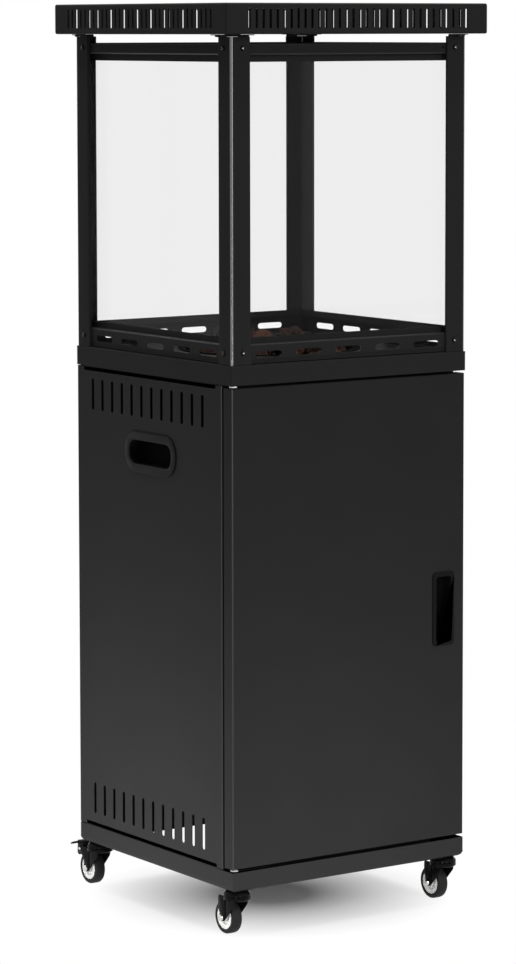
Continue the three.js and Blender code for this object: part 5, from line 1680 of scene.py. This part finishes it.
class HEATER_OT_cabinet_back(bpy.types.Operator):
    """Make the rear panel, the door frame and the brackets"""

    bl_idname = "heater.cabinet_back"
    bl_label = "Cabinet back and brackets"

    def execute(self, context):
        make_cabinet_back()
        return {"FINISHED"}


class HEATER_OT_deck(bpy.types.Operator):
    """Make the deck under the glass"""

    bl_idname = "heater.deck"
    bl_label = "Deck"

    def execute(self, context):
        make_deck()
        return {"FINISHED"}


class HEATER_OT_head(bpy.types.Operator):
    """Make the slotted head and its heat shield"""

    bl_idname = "heater.head"
    bl_label = "Head"

    def execute(self, context):
        make_head()
        return {"FINISHED"}


class HEATER_OT_posts(bpy.types.Operator):
    """Make the corner posts and their screws"""

    bl_idname = "heater.posts"
    bl_label = "Posts"

    def execute(self, context):
        make_posts()
        return {"FINISHED"}


class HEATER_OT_rails(bpy.types.Operator):
    """Make the rails that hold the glass"""

    bl_idname = "heater.rails"
    bl_label = "Rails"

    def execute(self, context):
        make_rails()
        return {"FINISHED"}


class HEATER_OT_glass(bpy.types.Operator):
    """Make the four panes"""

    bl_idname = "heater.glass"
    bl_label = "Glass"

    def execute(self, context):
        make_glass()
        return {"FINISHED"}


class HEATER_OT_pull_cups(bpy.types.Operator):
    """Make the hand grips and the door handle"""

    bl_idname = "heater.pull_cups"
    bl_label = "Pull cups"

    def execute(self, context):
        make_pull_cups()
        return {"FINISHED"}


class HEATER_OT_casters(bpy.types.Operator):
    """Make the four casters"""

    bl_idname = "heater.casters"
    bl_label = "Casters"

    def execute(self, context):
        make_casters()
        return {"FINISHED"}


class HEATER_OT_burner(bpy.types.Operator):
    """Make the pan, the burner ring and the pilot"""

    bl_idname = "heater.burner"
    bl_label = "Burner"

    def execute(self, context):
        make_burner()
        return {"FINISHED"}


class HEATER_OT_lava(bpy.types.Operator):
    """Make the lava stones"""

    bl_idname = "heater.lava"
    bl_label = "Lava stones"

    def execute(self, context):
        make_lava()
        return {"FINISHED"}


class HEATER_OT_controls(bpy.types.Operator):
    """Make the knob, the igniter, the valve and the pipe"""

    bl_idname = "heater.controls"
    bl_label = "Controls"

    def execute(self, context):
        make_controls()
        return {"FINISHED"}


class HEATER_OT_stage(bpy.types.Operator):
    """Make the floor, the lamps and the camera"""

    bl_idname = "heater.stage"
    bl_label = "Stage"

    def execute(self, context):
        make_stage()
        return {"FINISHED"}


OPERATORS = (
    HEATER_OT_finishes,
    HEATER_OT_side_panels,
    HEATER_OT_base_tray,
    HEATER_OT_door,
    HEATER_OT_cabinet_back,
    HEATER_OT_deck,
    HEATER_OT_head,
    HEATER_OT_posts,
    HEATER_OT_rails,
    HEATER_OT_glass,
    HEATER_OT_pull_cups,
    HEATER_OT_casters,
    HEATER_OT_burner,
    HEATER_OT_lava,
    HEATER_OT_controls,
    HEATER_OT_stage,
)


class HEATER_PT_panel(bpy.types.Panel):
    """The heater's settings and its steps, in the sidebar"""

    bl_label = "Gas patio heater"
    bl_space_type = "VIEW_3D"
    bl_region_type = "UI"
    bl_category = "Heater"

    def draw(self, context):
        layout = self.layout
        for key, group in GROUPS.items():
            box = layout.box()
            box.label(text=group.__doc__)
            for name in group.__annotations__:
                box.prop(getattr(context.scene, "heater_" + key), name)
        for operator in OPERATORS:
            layout.operator(operator.bl_idname)


def register():
    """Registers the settings, the operators and the panel."""
    for group in GROUPS.values():
        bpy.utils.register_class(group)
    for key, group in GROUPS.items():
        setattr(bpy.types.Scene, "heater_" + key, PointerProperty(type=group))
    for entry in (*OPERATORS, HEATER_PT_panel):
        bpy.utils.register_class(entry)


def unregister():
    """Takes back what register did."""
    for entry in (HEATER_PT_panel, *reversed(OPERATORS)):
        bpy.utils.unregister_class(entry)
    for key in GROUPS:
        delattr(bpy.types.Scene, "heater_" + key)
    for group in GROUPS.values():
        bpy.utils.unregister_class(group)


def main():
    """Makes the heater and its stage, step by step."""
    register()
    bpy.ops.heater.finishes()
    bpy.ops.heater.side_panels()
    bpy.ops.heater.base_tray()
    bpy.ops.heater.door()
    bpy.ops.heater.cabinet_back()
    bpy.ops.heater.deck()
    bpy.ops.heater.head()
    bpy.ops.heater.posts()
    bpy.ops.heater.rails()
    bpy.ops.heater.glass()
    bpy.ops.heater.pull_cups()
    bpy.ops.heater.casters()
    bpy.ops.heater.burner()
    bpy.ops.heater.lava()
    bpy.ops.heater.controls()
    bpy.ops.heater.stage()


if __name__ == "__main__":
    main()
